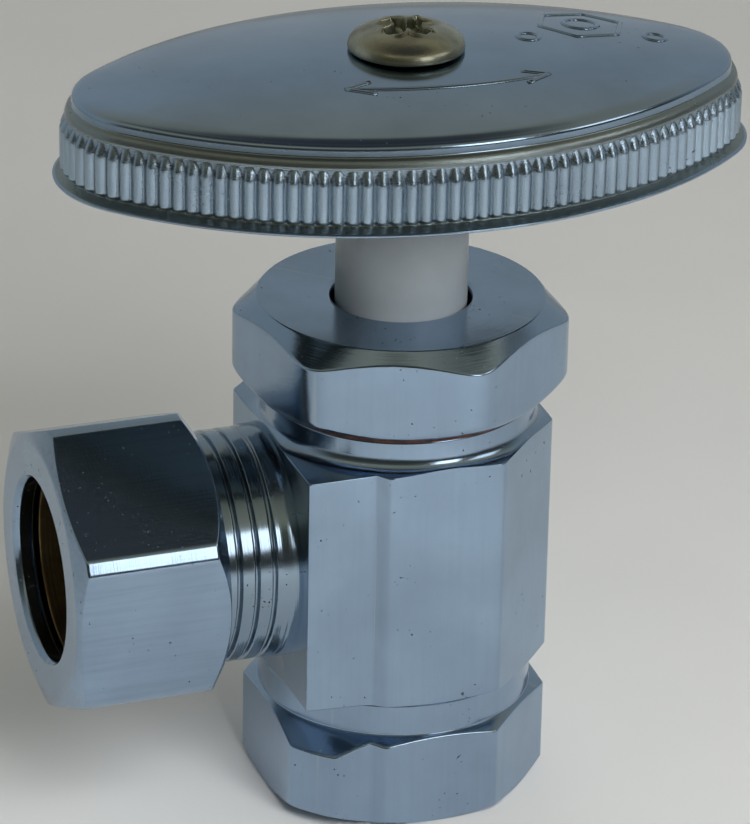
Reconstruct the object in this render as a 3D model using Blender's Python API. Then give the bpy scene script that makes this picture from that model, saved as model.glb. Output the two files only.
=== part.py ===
"""Angle stop valve: a plated brass stop with a threaded inlet below and a compression outlet at the side.

Every length here is in millimetres and becomes metres as its mesh is made. The origin is on the axis of the
valve at the inlet face, +Z runs up the stem and the outlet points along -X. The valve stands fully open.
"""

from math import atan2, cos, pi, radians, sin, tan

import bmesh
import bpy
from mathutils import Matrix, Vector

MM = 0.001
WELD = 1e-6
STEPS = 40
SMALL_STEPS = 32

# Forged body: an octagonal bar with a squared nose on the outlet side.
BAR_FLAT = 12.5
BAR_HALF_EDGE = BAR_FLAT * tan(pi / 8)
NOSE_SIDE = 11.5
NOSE_END = 12.2
NOSE_CORNER_CUT = 21.5
BLOCK_BOTTOM = 11.7
BLOCK_TOP = 34.1
BASE_RADIUS = 14.9
BASE_TOP = 8.6
WAIST_RADIUS = 12.15
NECK_RADIUS = 12.4
NECK_TOP = 36.8
SPIGOT_RADIUS = 10.9
SPIGOT_TOP = 41.5

# Waterway inside the body.
INLET_RADIUS = 10.3
INLET_MOUTH_RADIUS = 10.9
INLET_DEPTH = 11.0
PORT_RADIUS = 4.5
SEAT_FLOOR = 13.5
SEAT_LIP_RADIUS = 6.2
SEAT_LIP_TOP = 16.0
CHAMBER_RADIUS = 8.3
COLLAR_POCKET_RADIUS = 9.2
COLLAR_POCKET_FLOOR = 38.0

# Outlet: heights along its own axis are distances out from the stem axis.
OUTLET_HEIGHT = 23.7
OUTLET_END = 26.0
OUTLET_CREST = 10.3
OUTLET_ROOT = 9.7
OUTLET_PITCH = 1.5875
OUTLET_THREAD_START = 13.3
OUTLET_CONE_MOUTH = 9.6
OUTLET_CONE_END = 23.2
TUBE_SOCKET_RADIUS = 8.3
TUBE_STOP = 17.5
OUTLET_BORE = 5.0

# Bonnet nut over the spigot.
BONNET_BOTTOM = 37.3
BONNET_TOP = 45.55
BONNET_FLATS = 26.0
BONNET_CORNER_RADIUS = 1.5
BONNET_CORNER_ANGLE = radians(-81.5)
BONNET_BORE = 11.1
BONNET_CEILING = 42.2
BONNET_STEM_HOLE = 6.1

# Compression nut, measured along the outlet axis.
TUBE_NUT_BACK = 19.05
TUBE_NUT_FACE = 32.8
TUBE_NUT_FLATS = 24.0
TUBE_NUT_CORNER_CUT = 0.38
TUBE_NUT_CORNER_ANGLE = radians(-5.3)
TUBE_NUT_BORE = 10.4
TUBE_NUT_HOLE = 8.0
TUBE_NUT_STEP = 31.2
TUBE_NUT_CONE = 29.6
FACE_CIRCLE = 11.38
BACK_CIRCLE = 11.7

# Ferrule, measured along the outlet axis.
FERRULE_START = 25.5
FERRULE_END = 30.5
FERRULE_BORE = 8.0
FERRULE_RIM = 8.4
FERRULE_RADIUS = 9.2
FERRULE_TAPER = 2.0

# Stem and what turns with it.
STEM_RADIUS = 5.75
STEM_THREAD_CREST = 6.6
STEM_THREAD_ROOT = 6.0
STEM_PITCH = 1.5
STEM_THREAD_BOTTOM = 29.1
STEM_THREAD_TOP = 39.2
STEM_SHOULDER_TOP = 60.5
STEM_TOP = 65.5
STEM_SQUARE = 8.0
STUD_RADIUS = 2.6
STUD_GROOVE_RADIUS = 2.1
STUD_TIP = 26.6
SCREW_PILOT_RADIUS = 2.1
SCREW_PILOT_BOTTOM = 56.5

# Handle: a shallow dome over an oval made of four arcs.
HANDLE_TURN = radians(-3.8)
HANDLE_HALF_LENGTH = 28.8
HANDLE_HALF_WIDTH = 16.96
HANDLE_END_RADIUS = 8.6
HANDLE_BOTTOM = 58.5
HANDLE_EDGE = 66.0
HANDLE_RISE = 2.05
FLUTES = 120
FLUTE_DEPTH = 0.35
FLUTE_OFFSET = 1.0
BEAD_OFFSET = 1.65
BEAD_HEIGHT = 0.95
SKIRT_TOP = 64.2
HANDLE_WALL_OFFSET = -1.3
HANDLE_CEILING = 64.2
HUB_RADIUS = 7.0
HUB_BOTTOM = 58.8
SOCKET_SQUARE = 8.1
SOCKET_BOTTOM = 60.7
SOCKET_TOP = 65.8
SCREW_HEAD_RADIUS = 5.0
SCREW_HEAD_SEAT = 68.12
SCREW_HEAD_TOP = 70.3

# Swivelling washer carrier at the foot of the stem.
CARRIER_RADIUS = 6.9
WASHER_RADIUS = 6.0
WASHER_BOTTOM = 22.05
WASHER_TOP = 24.45

CHROME = ((0.62, 0.65, 0.68), 0.16, 1.0)
BRASS = ((0.70, 0.52, 0.25), 0.34, 1.0)
STEEL = ((0.52, 0.51, 0.49), 0.38, 1.0)
PLASTIC = ((0.86, 0.87, 0.85), 0.42, 0.0)
RUBBER = ((0.04, 0.04, 0.045), 0.75, 0.0)
FIBRE = ((0.35, 0.10, 0.06), 0.85, 0.0)


def clear_scene():
    for item in list(bpy.data.objects):
        bpy.data.objects.remove(item, do_unlink=True)


def finish(name, mesh, look):
    """Make an object of a bmesh in millimetres, with its own material."""
    bmesh.ops.remove_doubles(mesh, verts=mesh.verts, dist=WELD / MM)
    bmesh.ops.recalc_face_normals(mesh, faces=mesh.faces)
    bmesh.ops.scale(mesh, vec=(MM, MM, MM), verts=mesh.verts)
    data = bpy.data.meshes.new(name)
    mesh.to_mesh(data)
    mesh.free()
    data.shade_smooth()
    data.set_sharp_from_angle(angle=radians(25))
    item = bpy.data.objects.new(name, data)
    bpy.context.scene.collection.objects.link(item)
    if look:
        colour, roughness, metallic = look
        paint = bpy.data.materials.new(name)
        paint.use_nodes = True
        shader = paint.node_tree.nodes["Principled BSDF"]
        shader.inputs["Base Color"].default_value = (*colour, 1)
        shader.inputs["Roughness"].default_value = roughness
        shader.inputs["Metallic"].default_value = metallic
        data.materials.append(paint)
    return item


def turned(name, profile, look=None, steps=STEPS):
    """Revolve a closed outline of (radius, height) points about +Z."""
    mesh = bmesh.new()
    points = [mesh.verts.new((radius, 0, height)) for radius, height in profile]
    edges = []
    for start, end in zip(points, points[1:] + points[:1]):
        if start.co.x > 0 or end.co.x > 0:
            edges.append(mesh.edges.new((start, end)))
    bmesh.ops.spin(
        mesh,
        geom=points + edges,
        axis=(0, 0, 1),
        cent=(0, 0, 0),
        angle=2 * pi,
        steps=steps,
    )
    return finish(name, mesh, look)


def prism(name, outline, bottom, top, look=None):
    """Extrude a closed outline of (x, y) points between two heights."""
    mesh = bmesh.new()
    face = mesh.faces.new([mesh.verts.new((x, y, bottom)) for x, y in outline])
    raised = bmesh.ops.extrude_face_region(mesh, geom=[face])
    moved = [part for part in raised["geom"] if isinstance(part, bmesh.types.BMVert)]
    bmesh.ops.translate(mesh, vec=(0, 0, top - bottom), verts=moved)
    return finish(name, mesh, look)


def combine(target, operation, helper):
    """Boolean a helper into the target and hide the helper."""
    step = target.modifiers.new(helper.name, "BOOLEAN")
    step.operation = operation
    step.solver = "EXACT"
    step.object = helper
    helper.hide_render = True
    helper.display_type = "WIRE"


def thread_teeth(root, crest, start, end, pitch):
    """Outline points of whole ring-shaped teeth between two heights."""
    points = []
    for tooth in range(int((end - start) / pitch)):
        foot = start + tooth * pitch
        points.append((root, foot))
        points.append((crest, foot + pitch / 2))
    return points


def on_outlet(item):
    """Turn an object made about +Z on to the outlet axis, pointing along -X."""
    item.rotation_euler = (0, -pi / 2, 0)
    item.location = (0, 0, OUTLET_HEIGHT * MM)
    return item


def hexagon(flats, corner_angle, corner_radius):
    """Outline of a hexagon whose corners are rounded off by short arcs."""
    reach = flats / 2 / cos(pi / 6) - corner_radius / cos(pi / 6)
    outline = []
    for corner in range(6):
        middle = corner_angle + corner * pi / 3
        centre = Vector((reach * cos(middle), reach * sin(middle)))
        for part in (-1, -0.33, 0.33, 1):
            angle = middle + part * pi / 6
            outline.append(centre + corner_radius * Vector((cos(angle), sin(angle))))
    return outline


def cut_hexagon(flats, corner_angle, cut):
    """Outline of a hexagon whose corners are cut square by narrow flats."""
    apothem = flats / 2
    reach = apothem / cos(pi / 6) - cut
    half = cut / tan(pi / 6)
    outline = []
    for corner in range(6):
        middle = corner_angle + corner * pi / 3
        out = Vector((cos(middle), sin(middle)))
        along = Vector((-sin(middle), cos(middle)))
        outline.append(reach * out - half * along)
        outline.append(reach * out + half * along)
    return outline


def block_outline():
    """Upper bar seen from above: octagon on the right, squared nose with one cut corner on the left."""
    step = BAR_FLAT - NOSE_SIDE
    return [
        (BAR_HALF_EDGE, -BAR_FLAT),
        (BAR_FLAT, -BAR_HALF_EDGE),
        (BAR_FLAT, BAR_HALF_EDGE),
        (BAR_HALF_EDGE, BAR_FLAT),
        (-BAR_HALF_EDGE, BAR_FLAT),
        (-BAR_HALF_EDGE - step, NOSE_SIDE),
        (NOSE_SIDE - NOSE_CORNER_CUT, NOSE_SIDE),
        (-NOSE_END, NOSE_CORNER_CUT - NOSE_END),
        (-NOSE_END, -NOSE_SIDE),
        (-BAR_HALF_EDGE - step, -NOSE_SIDE),
        (-BAR_HALF_EDGE, -BAR_FLAT),
    ]


def base_outline():
    """Lower bar seen from above: the octagon with the nose's front corner, which turning then rounds off."""
    step = BAR_FLAT - NOSE_SIDE
    return [
        (BAR_HALF_EDGE, -BAR_FLAT),
        (BAR_FLAT, -BAR_HALF_EDGE),
        (BAR_FLAT, BAR_HALF_EDGE),
        (BAR_HALF_EDGE, BAR_FLAT),
        (-BAR_HALF_EDGE, BAR_FLAT),
        (-BAR_FLAT, BAR_HALF_EDGE),
        (-BAR_FLAT, -NOSE_SIDE),
        (-BAR_HALF_EDGE - step, -NOSE_SIDE),
        (-BAR_HALF_EDGE, -BAR_FLAT),
    ]


def make_valve_body():
    core = [
        (0, 1),
        (11.5, 1),
        (WAIST_RADIUS, 1.6),
        (WAIST_RADIUS, 33),
        (NECK_RADIUS, 33.2),
        (NECK_RADIUS, NECK_TOP - 0.3),
        (NECK_RADIUS - 0.3, NECK_TOP),
        (SPIGOT_RADIUS, NECK_TOP),
        (SPIGOT_RADIUS, SPIGOT_TOP - 0.6),
        (SPIGOT_RADIUS - 0.6, SPIGOT_TOP),
        (0, SPIGOT_TOP),
    ]
    body = turned("valve_body", core, CHROME)

    block = prism("block_bar", block_outline(), BLOCK_BOTTOM - 0.2, BLOCK_TOP)
    undercut = [
        (0, BLOCK_BOTTOM - 0.1),
        (WAIST_RADIUS + 0.2, BLOCK_BOTTOM),
        (13.5, 12.1),
        (18, 12.5),
        (18, 35),
        (0, 35),
    ]
    combine(block, "INTERSECT", turned("block_turning", undercut))

    base = prism("base_bar", base_outline(), -1, BASE_TOP + 1)
    turning = [
        (0, 0),
        (12.4, 0),
        (BASE_RADIUS, 1.35),
        (BASE_RADIUS, 7.3),
        (WAIST_RADIUS - 0.4, BASE_TOP + 0.2),
        (0, BASE_TOP + 0.2),
    ]
    combine(base, "INTERSECT", turned("base_turning", turning))

    teeth = thread_teeth(
        OUTLET_ROOT, OUTLET_CREST, OUTLET_THREAD_START, OUTLET_END - 0.9, OUTLET_PITCH
    )
    branch = [
        (0, 9),
        (OUTLET_CREST, 9),
        (OUTLET_CREST, OUTLET_THREAD_START - 0.5),
        *teeth,
        (OUTLET_ROOT, OUTLET_END - 0.5),
        (OUTLET_ROOT - 0.4, OUTLET_END),
        (0, OUTLET_END),
    ]
    outlet = on_outlet(turned("outlet_branch", branch))
    for piece in (block, base, outlet):
        combine(body, "UNION", piece)

    inlet = [
        (0, -1),
        (INLET_MOUTH_RADIUS + 1, -1),
        (INLET_MOUTH_RADIUS, 0),
        (INLET_RADIUS, 0.7),
        (INLET_RADIUS, INLET_DEPTH),
        (PORT_RADIUS, INLET_DEPTH),
        (PORT_RADIUS, SEAT_LIP_TOP),
        (SEAT_LIP_RADIUS - 0.6, SEAT_LIP_TOP),
        (SEAT_LIP_RADIUS, SEAT_LIP_TOP - 0.6),
        (SEAT_LIP_RADIUS, SEAT_FLOOR),
        (CHAMBER_RADIUS, SEAT_FLOOR),
        (CHAMBER_RADIUS, COLLAR_POCKET_FLOOR),
        (COLLAR_POCKET_RADIUS, COLLAR_POCKET_FLOOR),
        (COLLAR_POCKET_RADIUS, SPIGOT_TOP + 1),
        (0, SPIGOT_TOP + 1),
    ]
    combine(body, "DIFFERENCE", turned("waterway", inlet))

    bore = [
        (0, 6),
        (OUTLET_BORE, 6),
        (OUTLET_BORE, TUBE_STOP),
        (TUBE_SOCKET_RADIUS, TUBE_STOP),
        (TUBE_SOCKET_RADIUS, OUTLET_CONE_END),
        (OUTLET_CONE_MOUTH - 0.5, OUTLET_END),
        (OUTLET_CONE_MOUTH - 0.5, OUTLET_END + 1),
        (0, OUTLET_END + 1),
    ]
    combine(body, "DIFFERENCE", on_outlet(turned("outlet_bore", bore)))


def make_bonnet_nut():
    rise = 3.5
    ring = [
        (BONNET_BORE + 0.4, BONNET_BOTTOM),
        (12.7, BONNET_BOTTOM),
        (12.7 + rise, BONNET_BOTTOM + 0.55 * rise),
        (12.1 + rise, BONNET_TOP - 0.74 * rise),
        (12.1, BONNET_TOP),
        (BONNET_STEM_HOLE + 0.45, BONNET_TOP),
        (BONNET_STEM_HOLE, BONNET_TOP - 0.45),
        (BONNET_STEM_HOLE, BONNET_CEILING),
        (BONNET_BORE, BONNET_CEILING),
        (BONNET_BORE, BONNET_BOTTOM + 0.4),
    ]
    nut = turned("bonnet_nut", ring, CHROME)
    outline = hexagon(BONNET_FLATS, BONNET_CORNER_ANGLE, BONNET_CORNER_RADIUS)
    bar = prism("bonnet_bar", outline, BONNET_BOTTOM - 1, BONNET_TOP + 1)
    combine(nut, "INTERSECT", bar)


def make_seals():
    """Fibre gasket under the bonnet nut, and the rubber packing with its brass follower round the stem."""
    gasket = [(11.0, 36.88), (12.3, 36.88), (12.3, 37.22), (11.0, 37.22)]
    turned("bonnet_gasket", gasket, FIBRE)
    packing = [(5.8, 39.5), (7.3, 39.5), (7.3, 41.0), (6.9, 41.3), (6.2, 41.3), (5.8, 41.0)]
    turned("packing_ring", packing, RUBBER)
    follower = [(5.9, 41.38), (7.3, 41.38), (7.3, 42.1), (5.9, 42.1)]
    turned("packing_washer", follower, BRASS)


def make_stem_bush():
    """Brass bush that holds the stem thread and the packing pocket."""
    profile = [
        (6.7, 28.9),
        (7.8, 28.9),
        (8.2, 29.3),
        (8.2, 38.08),
        (9.1, 38.08),
        (9.1, 41.0),
        (8.7, 41.4),
        (7.4, 41.4),
        (7.4, 39.4),
        (6.7, 39.4),
    ]
    turned("stem_bush", profile, BRASS)


def make_stem():
    teeth = thread_teeth(
        STEM_THREAD_ROOT, STEM_THREAD_CREST, STEM_THREAD_BOTTOM, STEM_THREAD_TOP, STEM_PITCH
    )
    profile = [
        (0, STUD_TIP),
        (STUD_RADIUS - 0.3, STUD_TIP),
        (STUD_RADIUS, STUD_TIP + 0.3),
        (STUD_GROOVE_RADIUS, STUD_TIP + 0.5),
        (STUD_GROOVE_RADIUS, STUD_TIP + 1.2),
        (STUD_RADIUS, STUD_TIP + 1.3),
        (STUD_RADIUS, STEM_THREAD_BOTTOM),
        *teeth,
        (STEM_RADIUS, STEM_THREAD_TOP),
        (STEM_RADIUS, STEM_SHOULDER_TOP - 0.3),
        (STEM_RADIUS - 0.3, STEM_SHOULDER_TOP),
        (0, STEM_SHOULDER_TOP),
    ]
    stem = turned("stem", profile, PLASTIC, SMALL_STEPS)
    stem.rotation_euler.z = HANDLE_TURN
    half = STEM_SQUARE / 2
    chamfer = 0.4
    square = [
        (half, -half + chamfer),
        (half, half - chamfer),
        (half - chamfer, half),
        (-half + chamfer, half),
        (-half, half - chamfer),
        (-half, -half + chamfer),
        (-half + chamfer, -half),
        (half - chamfer, -half),
    ]
    drive = prism("stem_square", square, STEM_SHOULDER_TOP - 1, STEM_TOP)
    drive.rotation_euler.z = HANDLE_TURN
    combine(stem, "UNION", drive)
    pilot = [
        (0, SCREW_PILOT_BOTTOM),
        (SCREW_PILOT_RADIUS, SCREW_PILOT_BOTTOM + 1),
        (SCREW_PILOT_RADIUS, STEM_TOP + 1),
        (0, STEM_TOP + 1),
    ]
    combine(stem, "DIFFERENCE", turned("stem_pilot", pilot, steps=SMALL_STEPS))


def make_washer_carrier():
    """Cup for the seat washer, swivelling on the foot of the stem."""
    cup = [
        (1.6, WASHER_TOP + 0.05),
        (6.15, WASHER_TOP + 0.05),
        (6.15, WASHER_BOTTOM + 0.85),
        (CARRIER_RADIUS - 0.2, WASHER_BOTTOM + 0.85),
        (CARRIER_RADIUS, WASHER_BOTTOM + 1.05),
        (CARRIER_RADIUS, 25.6),
        (CARRIER_RADIUS - 0.5, 26.1),
        (4.8, 26.1),
        (4.8, 28.3),
        (4.4, 28.7),
        (2.85, 28.7),
        (2.75, 27.95),
        (3.35, 27.9),
        (3.35, 26.5),
        (1.6, 26.4),
    ]
    turned("washer_carrier", cup, BRASS, SMALL_STEPS)
    clip = [(2.2, 27.15), (3.2, 27.15), (3.2, 27.75), (2.2, 27.75)]
    turned("carrier_clip", clip, STEEL, SMALL_STEPS)
    washer = [
        (1.7, WASHER_BOTTOM),
        (WASHER_RADIUS - 0.3, WASHER_BOTTOM),
        (WASHER_RADIUS, WASHER_BOTTOM + 0.3),
        (WASHER_RADIUS, WASHER_TOP),
        (1.7, WASHER_TOP),
    ]
    turned("seat_washer", washer, RUBBER, SMALL_STEPS)


def make_seat_screw():
    profile = [
        (0, 20.4),
        (2.2, 20.4),
        (2.9, 21.0),
        (2.9, 21.98),
        (1.5, 21.98),
        (1.5, 26.0),
        (1.2, 26.3),
        (0, 26.3),
    ]
    screw = turned("seat_washer_screw", profile, BRASS, SMALL_STEPS)
    slot = [(-4, -0.45), (4, -0.45), (4, 0.45), (-4, 0.45)]
    combine(screw, "DIFFERENCE", prism("seat_screw_slot", slot, 20, 21.2))


def oval_ring(mesh, count, height, offset=0, depth=0, shrink=1):
    """One ring of points round the four-arc oval, with every second point set in by a depth."""
    length, width, end = HANDLE_HALF_LENGTH, HANDLE_HALF_WIDTH, HANDLE_END_RADIUS
    side = (length**2 + width**2 - 2 * length * end) / (2 * (width - end))
    end_centre = length - end
    side_centre = side - width
    join_angle = atan2(side_centre, end_centre)
    end_arc = 2 * join_angle * end
    side_arc = (pi - 2 * join_angle) * side
    ring = []
    for index in range(count):
        along = index / count * 2 * (end_arc + side_arc) - end_arc / 2
        turns, rest = divmod(along + end_arc, end_arc + side_arc)
        if rest < end_arc:
            angle = rest / end - join_angle
            centre, radius = Vector((end_centre, 0)), end
        else:
            angle = join_angle + (rest - end_arc) / side
            centre, radius = Vector((0, -side_centre)), side
        reach = radius + offset - depth * (index % 2)
        point = (centre + reach * Vector((cos(angle), sin(angle)))) * shrink
        if turns % 2:
            point = -point
        ring.append(mesh.verts.new((point.x, point.y, height)))
    return ring


def oval_solid(name, count, sections, look=None):
    """Loft through oval sections from the bottom up and close both ends."""
    mesh = bmesh.new()
    rings = [oval_ring(mesh, count, *section) for section in sections]
    for lower, upper in zip(rings, rings[1:]):
        for index in range(len(lower)):
            after = (index + 1) % len(lower)
            mesh.faces.new((lower[index], lower[after], upper[after], upper[index]))
    mesh.faces.new(list(reversed(rings[0])))
    mesh.faces.new(rings[-1])
    item = finish(name, mesh, look)
    item.rotation_euler.z = HANDLE_TURN
    return item


def make_handle():
    sections = [
        (HANDLE_BOTTOM, BEAD_OFFSET - 0.5),
        (HANDLE_BOTTOM + BEAD_HEIGHT / 2, BEAD_OFFSET),
        (HANDLE_BOTTOM + BEAD_HEIGHT, FLUTE_OFFSET + 0.05, FLUTE_DEPTH),
        (SKIRT_TOP, FLUTE_OFFSET, FLUTE_DEPTH),
        (HANDLE_EDGE, 0),
        (HANDLE_EDGE + 0.6 * HANDLE_RISE, 0, 0, 0.63),
        (HANDLE_EDGE + 0.93 * HANDLE_RISE, 0, 0, 0.26),
    ]
    handle = oval_solid("handle", 2 * FLUTES, sections, CHROME)
    inside = [
        (HANDLE_BOTTOM - 1, HANDLE_WALL_OFFSET),
        (HANDLE_CEILING - 1, HANDLE_WALL_OFFSET),
        (HANDLE_CEILING, HANDLE_WALL_OFFSET - 1),
    ]
    combine(handle, "DIFFERENCE", oval_solid("handle_inside", FLUTES // 2, inside))
    hub = [
        (0, HUB_BOTTOM),
        (HUB_RADIUS, HUB_BOTTOM),
        (HUB_RADIUS, HANDLE_CEILING + 0.5),
        (0, HANDLE_CEILING + 0.5),
    ]
    combine(handle, "UNION", turned("handle_hub", hub, steps=SMALL_STEPS))
    mouth = [
        (0, HUB_BOTTOM - 1),
        (STEM_RADIUS + 0.2, HUB_BOTTOM - 1),
        (STEM_RADIUS + 0.2, SOCKET_BOTTOM),
        (0, SOCKET_BOTTOM),
    ]
    combine(handle, "DIFFERENCE", turned("hub_mouth", mouth, steps=SMALL_STEPS))
    half = SOCKET_SQUARE / 2
    square = [(half, -half), (half, half), (-half, half), (-half, -half)]
    socket = prism("hub_socket", square, SOCKET_BOTTOM - 0.5, SOCKET_TOP)
    socket.rotation_euler.z = HANDLE_TURN
    combine(handle, "DIFFERENCE", socket)
    hole = [(0, SOCKET_TOP - 1), (2.4, SOCKET_TOP - 1), (2.4, 70), (0, 70)]
    combine(handle, "DIFFERENCE", turned("handle_hole", hole, steps=SMALL_STEPS))


def make_handle_screw():
    """Truss head with a cross recess and a plain shank."""
    height = SCREW_HEAD_TOP - SCREW_HEAD_SEAT
    rim = 0.35
    profile = [(0, 57.8), (1.2, 57.8), (2.0, 58.8), (2.0, SCREW_HEAD_SEAT)]
    profile.append((SCREW_HEAD_RADIUS - 0.2, SCREW_HEAD_SEAT))
    profile.append((SCREW_HEAD_RADIUS, SCREW_HEAD_SEAT + 0.15))
    for part in range(5):
        angle = part * pi / 2 / 5
        dome = SCREW_HEAD_SEAT + rim + (height - rim) * sin(angle)
        profile.append((SCREW_HEAD_RADIUS * cos(angle), dome))
    profile.append((0, SCREW_HEAD_TOP))
    screw = turned("handle_screw", profile, STEEL, SMALL_STEPS)
    for arm in range(2):
        bar = [(-2.35, -0.5), (2.35, -0.5), (2.35, 0.5), (-2.35, 0.5)]
        slot = prism(f"recess_arm_{arm}", bar, SCREW_HEAD_TOP - 1.5, SCREW_HEAD_TOP + 1)
        slot.rotation_euler.z = radians(28) + arm * pi / 2
        combine(screw, "DIFFERENCE", slot)


def make_compression_nut():
    rise = 3.0
    ring = [
        (TUBE_NUT_BORE + 0.5, TUBE_NUT_BACK),
        (BACK_CIRCLE, TUBE_NUT_BACK),
        (BACK_CIRCLE + rise, TUBE_NUT_BACK + 0.75 * rise),
        (FACE_CIRCLE + rise, TUBE_NUT_FACE - 0.38 * rise),
        (FACE_CIRCLE, TUBE_NUT_FACE),
        (TUBE_NUT_HOLE + 0.35, TUBE_NUT_FACE),
        (TUBE_NUT_HOLE, TUBE_NUT_FACE - 0.35),
        (TUBE_NUT_HOLE, TUBE_NUT_STEP),
        (FERRULE_RADIUS + 0.3, TUBE_NUT_CONE),
        (TUBE_NUT_BORE, TUBE_NUT_CONE - 0.1),
        (TUBE_NUT_BORE, TUBE_NUT_BACK + 0.5),
    ]
    nut = on_outlet(turned("compression_nut", ring, CHROME))
    outline = cut_hexagon(TUBE_NUT_FLATS, TUBE_NUT_CORNER_ANGLE, TUBE_NUT_CORNER_CUT)
    bar = on_outlet(prism("tube_nut_bar", outline, TUBE_NUT_BACK - 1, TUBE_NUT_FACE + 1))
    combine(nut, "INTERSECT", bar)


def make_ferrule():
    """Brass sleeve with a taper at each end, between the nut and the cone of the outlet."""
    profile = [
        (FERRULE_BORE, FERRULE_START),
        (FERRULE_RIM, FERRULE_START),
        (FERRULE_RADIUS, FERRULE_START + FERRULE_TAPER),
        (FERRULE_RADIUS, FERRULE_END - FERRULE_TAPER),
        (FERRULE_RIM, FERRULE_END),
        (FERRULE_BORE, FERRULE_END),
    ]
    on_outlet(turned("compression_ferrule", profile, BRASS))


clear_scene()
make_valve_body()
make_bonnet_nut()
make_seals()
make_stem_bush()
make_stem()
make_washer_carrier()
make_seat_screw()
make_handle()
make_handle_screw()
make_compression_nut()
make_ferrule()
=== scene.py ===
"""Looks of the angle stop valve: smooth plated metal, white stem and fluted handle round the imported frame.

Meshes are worked out in millimetres about their own +Z turning axis and become metres as they are made.
An outline lists corners (radius, height, rounding), whose radius and height may change with the angle.
"""

from math import atan2, cos, pi, radians, sin, sqrt, tau

import bmesh
import bpy
import numpy as np
from mathutils import Matrix, Vector


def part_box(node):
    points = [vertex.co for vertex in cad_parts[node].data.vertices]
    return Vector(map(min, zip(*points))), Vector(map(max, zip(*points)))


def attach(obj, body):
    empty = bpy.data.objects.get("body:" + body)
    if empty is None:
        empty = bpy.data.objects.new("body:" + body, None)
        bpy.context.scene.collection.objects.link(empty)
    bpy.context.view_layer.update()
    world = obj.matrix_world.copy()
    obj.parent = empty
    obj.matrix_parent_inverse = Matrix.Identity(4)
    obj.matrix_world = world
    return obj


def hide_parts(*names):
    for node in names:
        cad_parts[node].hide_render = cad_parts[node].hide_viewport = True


MM = 0.001

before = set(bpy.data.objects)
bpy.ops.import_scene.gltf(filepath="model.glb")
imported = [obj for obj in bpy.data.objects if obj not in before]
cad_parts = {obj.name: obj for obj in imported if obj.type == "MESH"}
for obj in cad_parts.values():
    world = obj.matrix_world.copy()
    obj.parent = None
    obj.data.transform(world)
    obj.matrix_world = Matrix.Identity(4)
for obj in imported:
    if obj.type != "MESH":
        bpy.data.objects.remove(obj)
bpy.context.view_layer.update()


def box_mm(node):
    low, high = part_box(node)
    return low / MM, high / MM


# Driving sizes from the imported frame, in millimetres like all that follow.
BODY_LOW, BODY_HIGH = box_mm("valve_body")
BONNET_LOW, BONNET_HIGH = box_mm("bonnet_nut")
GASKET_LOW, GASKET_HIGH = box_mm("bonnet_gasket")
TUBE_NUT_LOW, TUBE_NUT_HIGH = box_mm("compression_nut")
HANDLE_LOW, HANDLE_HIGH = box_mm("handle")
STEM_LOW, STEM_HIGH = box_mm("stem")
SCREW_LOW, SCREW_HIGH = box_mm("handle_screw")
FLAT = BODY_HIGH.x
SPIGOT_TOP = BODY_HIGH.z
OUTLET_END = -BODY_LOW.x
OUTLET_HEIGHT = (TUBE_NUT_LOW.z + TUBE_NUT_HIGH.z) / 2
TUBE_NUT_FACE = -TUBE_NUT_LOW.x
TUBE_NUT_BACK = -TUBE_NUT_HIGH.x

# Roundings: their steps, the share of an edge that one may take, and the straight run kept beside it.
ROUNDING_STEPS = 3
ROUNDING_SHARE = 0.42
ROUNDING_HOLD = 0.05
WELD_METRES = 1e-7
TINY = 1e-9

# Corners of a plan: a scan round it finds where it turns sharply, and more angles are added there.
SCAN_ANGLES = 7200
SCAN_SPAN = 6
CORNER_TURN = 0.25
CORNERS_APART = radians(2.5)
LEAST_GAP = radians(0.02)

# Body bar with its squared nose, waist, base and neck.
NOSE_SIDE = FLAT - 1.0
NOSE_END = FLAT - 0.3
NOSE_CUT = 15.2
BODY_SHARPNESS = 260
BODY_CORNER_SPREAD = radians(0.9)
BODY_CORNER_ANGLES = 9
INWARD = 1
UNDERCUT_RADIUS = 12.35
UNDERCUT_HEIGHT = 11.68
WAIST_RADIUS = 12.15
WAIST_TOP = 11.4
BASE_TOP = 8.6
BASE_RADIUS = 14.9
BASE_POWER = 200.0
FOOT_RADIUS = 12.3
LEDGE = 34.1
NECK_RADIUS = 11.9
NECK_TOP = 36.8
NECK_FILLET = 1.2
FILLET_ROWS = 5
FILLET_MARGIN = 0.03
SPIGOT_RADIUS = 10.9
SPIGOT_BORE = 9.2

# Inlet, port, chamber and the waterway to the outlet.
INLET_RADIUS = 10.3
INLET_DEPTH = 11.0
INLET_PITCH = 1.814
INLET_TOOTH = 0.75
INLET_ROWS_A_TURN = 12
PORT_RADIUS = 4.5
SEAT_RADIUS = 6.2
SEAT_TOP = 16.0
CHAMBER_RADIUS = 8.3
CHAMBER_FLOOR = 13.5
CHAMBER_TOP = 38.0
WATERWAY_START = 6.5
WATERWAY_END = 13
WATERWAY_CLEARANCE = 0.12
WATERWAY_ANGLES = 64

# Outlet thread and tube end, as distances from the valve's axis and radii from the outlet's.
OUTLET_CREST = 10.3
OUTLET_PITCH = 1.5875
OUTLET_DEPTH = 0.42
OUTLET_WORN = 0.12
OUTLET_ANGLES = 240
OUTLET_ROWS_A_TURN = 26
BRANCH_START = 11.0
THREAD_START = 12.7
THREAD_FADE_START = 13.0
THREAD_FADE_END = 15.2
THREAD_CHAMFER = 0.7
TUBE_STOP = 17.5
TUBE_RADIUS = 8.0
TUBE_CLEARANCE = 0.3
TUBE_MOUTH_RADIUS = 9.1
TUBE_MOUTH_END = 23.2
BORE_RADIUS = 5.0
BORE_START = 8.1

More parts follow.
